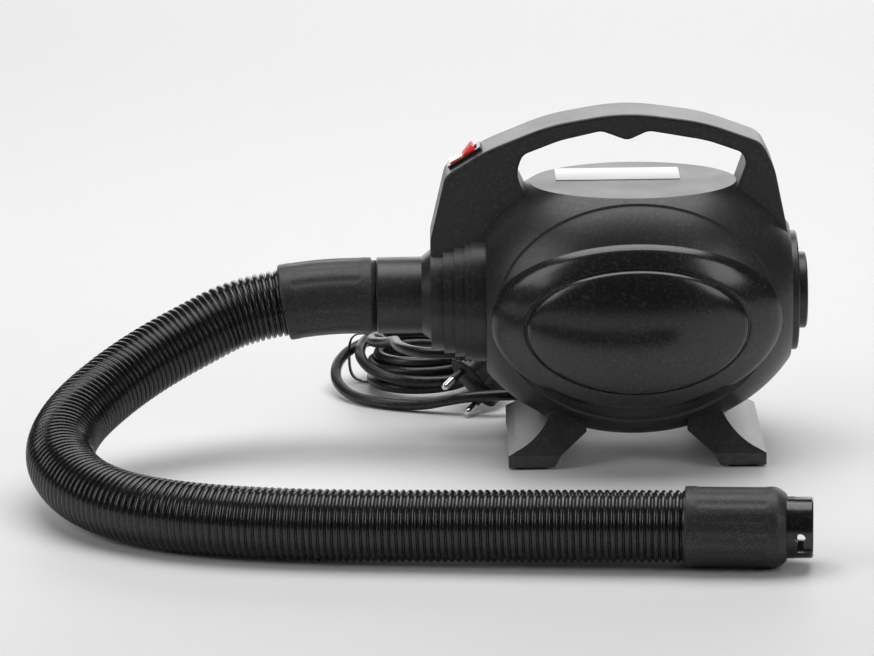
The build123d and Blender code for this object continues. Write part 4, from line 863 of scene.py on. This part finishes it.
        def section(run: float, turn: float) -> tuple[float, float]:
            """Half widths of the plug: flat sides near the pins, round at the tail."""
            flat = max(0.0, min(1.0, (self.flat_end - run) / self.flat_fade))
            lean = abs(math.cos(turn))
            shape = lean ** (-self.flatness * flat) if lean > self.flat_from else 1.0
            in_grip = self.grip_span[0] < run < self.grip_span[1] and int(run / self.grip_pitch) % 2
            grip = self.grip_depth * flat if in_grip else 0.0
            return blend_value(sizes_w, run) - grip, blend_value(sizes_h, run) * shape

        stations = {round(s[0], 7) for s in sizes_w + sizes_h}
        places = sorted(stations | {round(i * 0.6 * MM, 7) for i in range(1, 60)})
        path = straight(face, -self.plug_point, places)
        piece = sweep_rings("plug_moulding", path, self.plug_across, 48, section)
        place_piece(piece, PLUG, Body.HOUSING, "plug_plastic", "plug_body")
        return piece


# ------------------------------------------------------------------ air hose
@dataclass
class AirHose:
    """The corrugated hose with its two cuffs."""

    radius: float = 18.5 * MM
    pitch: float = 3.6 * MM
    rib_depth: float = 2.1 * MM
    declared_length: float = 0.56
    cuff_radius: float = 21.0 * MM
    cuff_length: float = 48.3
    cuff_straight: float = 10.0
    cuff_droop: float = 10.0
    cuff_mouth: float = 143.6
    lip: tuple[tuple[float, float], ...] = (
        (0.2, 15.4), (21.0, 16.5), (21.0, 18.42), (20.7, 18.44), (2.7, 18.44), (2.7, 19.35), (0.05, 19.4),
        (0.02, 20.4))
    flutes: int = 14
    points_per_flute: int = 14
    band: float = 5.5 * MM
    flute_depth: float = 0.55 * MM
    end_radius: float = 20.6 * MM
    end_length: float = 46.0 * MM
    cone_length: float = 5.5 * MM
    cone_radius: float = 17.2 * MM
    hose_end: Point = (16.5, -230.5, 20.7)
    last_run: float = 50.0 * MM
    way: Vector = field(default_factory=lambda: Vector((1, -0.075, 0)).normalized())
    middle_route: Route = field(default_factory=lambda: [
        (-215, -1, 79.2), (-240, -11, 68.6), (-265, -26, 58.3), (-287, -47, 47.6), (-305, -75, 37),
        (-311, -107, 28), (-301, -139, 21.8), (-281, -167, 18.9), (-253, -189, 18.6), (-217, -203, 18.6),
        (-168, -212.5, 18.6), (-108, -218.5, 19.2)])

    def cuff_line(self) -> list[Vector]:
        """Middle line of the upper cuff: straight, then sagging towards the hose."""
        axis = AXIS_Z / MM
        places = [(-self.cuff_mouth, 0.0, axis), (-self.cuff_mouth - 0.5, 0.0, axis)]
        bend = (self.cuff_length - self.cuff_straight) / math.radians(self.cuff_droop)
        steps = 60
        places += [(-self.cuff_mouth - self.cuff_straight * i / 10, 0.0, axis) for i in range(1, 11)]
        for i in range(1, steps + 1):
            angle = math.radians(self.cuff_droop) * i / steps
            places.append((-self.cuff_mouth - self.cuff_straight - bend * math.sin(angle), 0.0,
                           axis - bend * (1 - math.cos(angle))))
        return from_middle(places)

    def route(self) -> list[Vector]:
        """The hose's control points, from the upper cuff to the lower one."""
        end = from_middle([self.hose_end])[0]
        return [self.cuff_line()[-1]] + from_middle(self.middle_route) + [end - self.way * self.last_run, end]

    def flute(self, run: float, turn: float, length: float, radius: float) -> float:
        """Radius of a cuff: bands at both ends and flutes between them.

        Args:
            run: distance along the cuff.
            turn: angle round it.
            length: the cuff's length.
            radius: its largest radius.

        Returns:
            The radius there.
        """
        edge = min(run, length - run)
        round_off = 0.7 * MM * max(0.0, 1 - edge / (0.9 * MM)) ** 2
        if edge < self.band:
            return radius - round_off
        fade = min(1.0, (edge - self.band) / (1.2 * MM))
        wave = 0.5 - 0.5 * math.cos(self.flutes * turn)
        return radius - self.flute_depth * fade * (0.35 + 0.65 * wave ** 2)

    def build(self) -> None:
        route = self.route()
        line = line_of(spline_curve("hose_line", route, resolution=16))
        ribs = RibbedTube(self.radius, self.radius, self.pitch, self.rib_depth)
        tube = ribs.build("corrugated_hose", line, HOSE)
        place_piece(tube, HOSE, Body.HOSE, "hose_black", "hose_tube")
        upper = self.build_upper_cuff()
        lower = self.build_lower_cuff()
        log.info("hose: %.3f m along its middle", length_of(line))

    def build_upper_cuff(self) -> bpy.types.Object:
        """Makes the fluted rubber cuff on the outlet."""
        line = self.cuff_line()
        length = length_of(line)
        piece = sweep_rings("upper_hose_cuff", line, Vector((0, 1, 0)), self.points_per_flute * self.flutes,
                            lambda run, turn: (self.flute(run, turn, length, self.cuff_radius),) * 2,
                            lead_in=[(-at * MM, size * MM) for at, size in self.lip])
        place_piece(piece, CUFF, Body.HOSE, "cuff_rubber", "hose_cuff")
        return piece

    def build_lower_cuff(self) -> bpy.types.Object:
        """Makes the fluted cuff with a coned end that holds the nozzle."""
        start = from_middle([self.hose_end])[0]
        end = self.end_length + self.cone_length
        places = [i * 0.25 * MM for i in range(4)] + [i * MM for i in range(1, int(self.end_length / MM))]
        places += [self.end_length + self.cone_length * i / 12 for i in range(13)]

        def section(run: float, turn: float) -> tuple[float, float]:
            """Fluted up to the cone, then narrowing in a curve."""
            if run > self.end_length:
                t = (run - self.end_length) / (end - self.end_length)
                size = self.end_radius - 0.2 * MM + (self.cone_radius - self.end_radius) * t ** 1.6
            else:
                size = self.flute(run, turn, self.end_length + 2 * MM, self.end_radius)
            return size, size

        piece = sweep_rings("lower_hose_cuff", straight(start, self.way, places), Vector((0, 0, 1)),
                            self.points_per_flute * self.flutes, section)
        place_piece(piece, CUFF, Body.HOSE, "cuff_rubber", "hose_end_cuff")
        return piece


# ------------------------------------------------------------------ side covers
@dataclass
class SideCovers:
    """Oval covers on the housing's sides: a bevelled rim, a groove and a raised dome."""

    drop: float = 4.8 * MM
    half_wide: float = 81.5 * MM
    half_high: float = 47.5 * MM
    body_half: float = 95.8 * MM
    body_radius: float = 76.3 * MM
    around: int = 192
    profile: tuple[tuple[float, float], ...] = (
        (0.0, 4.5), (0.3, 4.5), (0.55, 4.5), (0.64, 4.45), (0.68, 4.3), (0.705, 4.0), (0.72, 3.5),
        (0.728, 2.6), (0.731, 1.9), (0.737, 1.6), (0.743, 1.9), (0.748, 2.2), (0.76, 2.35), (0.80, 2.4),
        (0.90, 2.4), (0.925, 2.3), (0.945, 2.0), (0.965, 1.3), (0.98, 0.5), (0.99, -0.2), (1.0, -1.2))

    def skin(self, share: float, turn: float, side: int) -> Vector:
        """A point of the cover's outside.

        Args:
            share: distance from the oval's middle, 1 at its edge.
            turn: angle round the oval.
            side: -1 for the front cover and +1 for the back one.

        Returns:
            The point in metres.
        """
        high = blend_value(self.profile, share) * MM
        x = self.half_wide * share * math.cos(turn)
        z = self.half_high * share * math.sin(turn) - self.drop
        long, tall = self.body_half + high, self.body_radius + high
        rest = max(0.0, 1 - (x / long) ** 2 - (z / tall) ** 2)
        return Vector((MIDDLE_X + x, side * tall * math.sqrt(rest), AXIS_Z + z))

    def build(self) -> None:
        """Makes both covers."""
        stations = {round(s[0], 4) for s in self.profile if s[0] > 0}
        shares = sorted(stations | {round(i * 0.02, 4) for i in range(1, 50)})
        for name, side, node in (("front_oval_cover", -1, "side_cover_front"),
                                 ("back_oval_cover", 1, "side_cover_back")):
            verts = [self.skin(0.0, 0.0, side)]
            for share in shares:
                verts += [self.skin(share, 2 * math.pi * k / self.around, side) for k in range(self.around)]
            faces = [(0, 1 + k, 1 + (k + 1) % self.around) for k in range(self.around)]
            for ring in range(len(shares) - 1):
                low = 1 + ring * self.around
                for k in range(self.around):
                    after = (k + 1) % self.around
                    faces.append((low + k, low + self.around + k, low + self.around + after, low + after))
            last = 1 + (len(shares) - 1) * self.around
            faces.append(tuple(last + k for k in reversed(range(self.around))))
            if side > 0:
                faces = [tuple(reversed(face)) for face in faces]
            piece = add_mesh(name, verts, faces)
            piece.data.polygons[len(faces) - 1].use_smooth = False
            place_piece(piece, COVER, Body.HOUSING, "cover_black", node)


def dress_cad_nodes() -> None:
    """Gives the CAD nodes that still show their finishes."""
    for name, finish in NODE_FINISH.items():
        dress(frame["nodes"][name], finish)
    log.info("%d CAD nodes dressed", len(NODE_FINISH))


def main() -> None:
    """Builds the studio, the cords, the covers and the finishes, in that order."""
    logging.basicConfig(level=logging.INFO, format="%(message)s")
    Studio().build()
    MainsLead().build()
    AirHose().build()
    SideCovers().build()
    dress_cad_nodes()


if __name__ == "__main__":
    main()
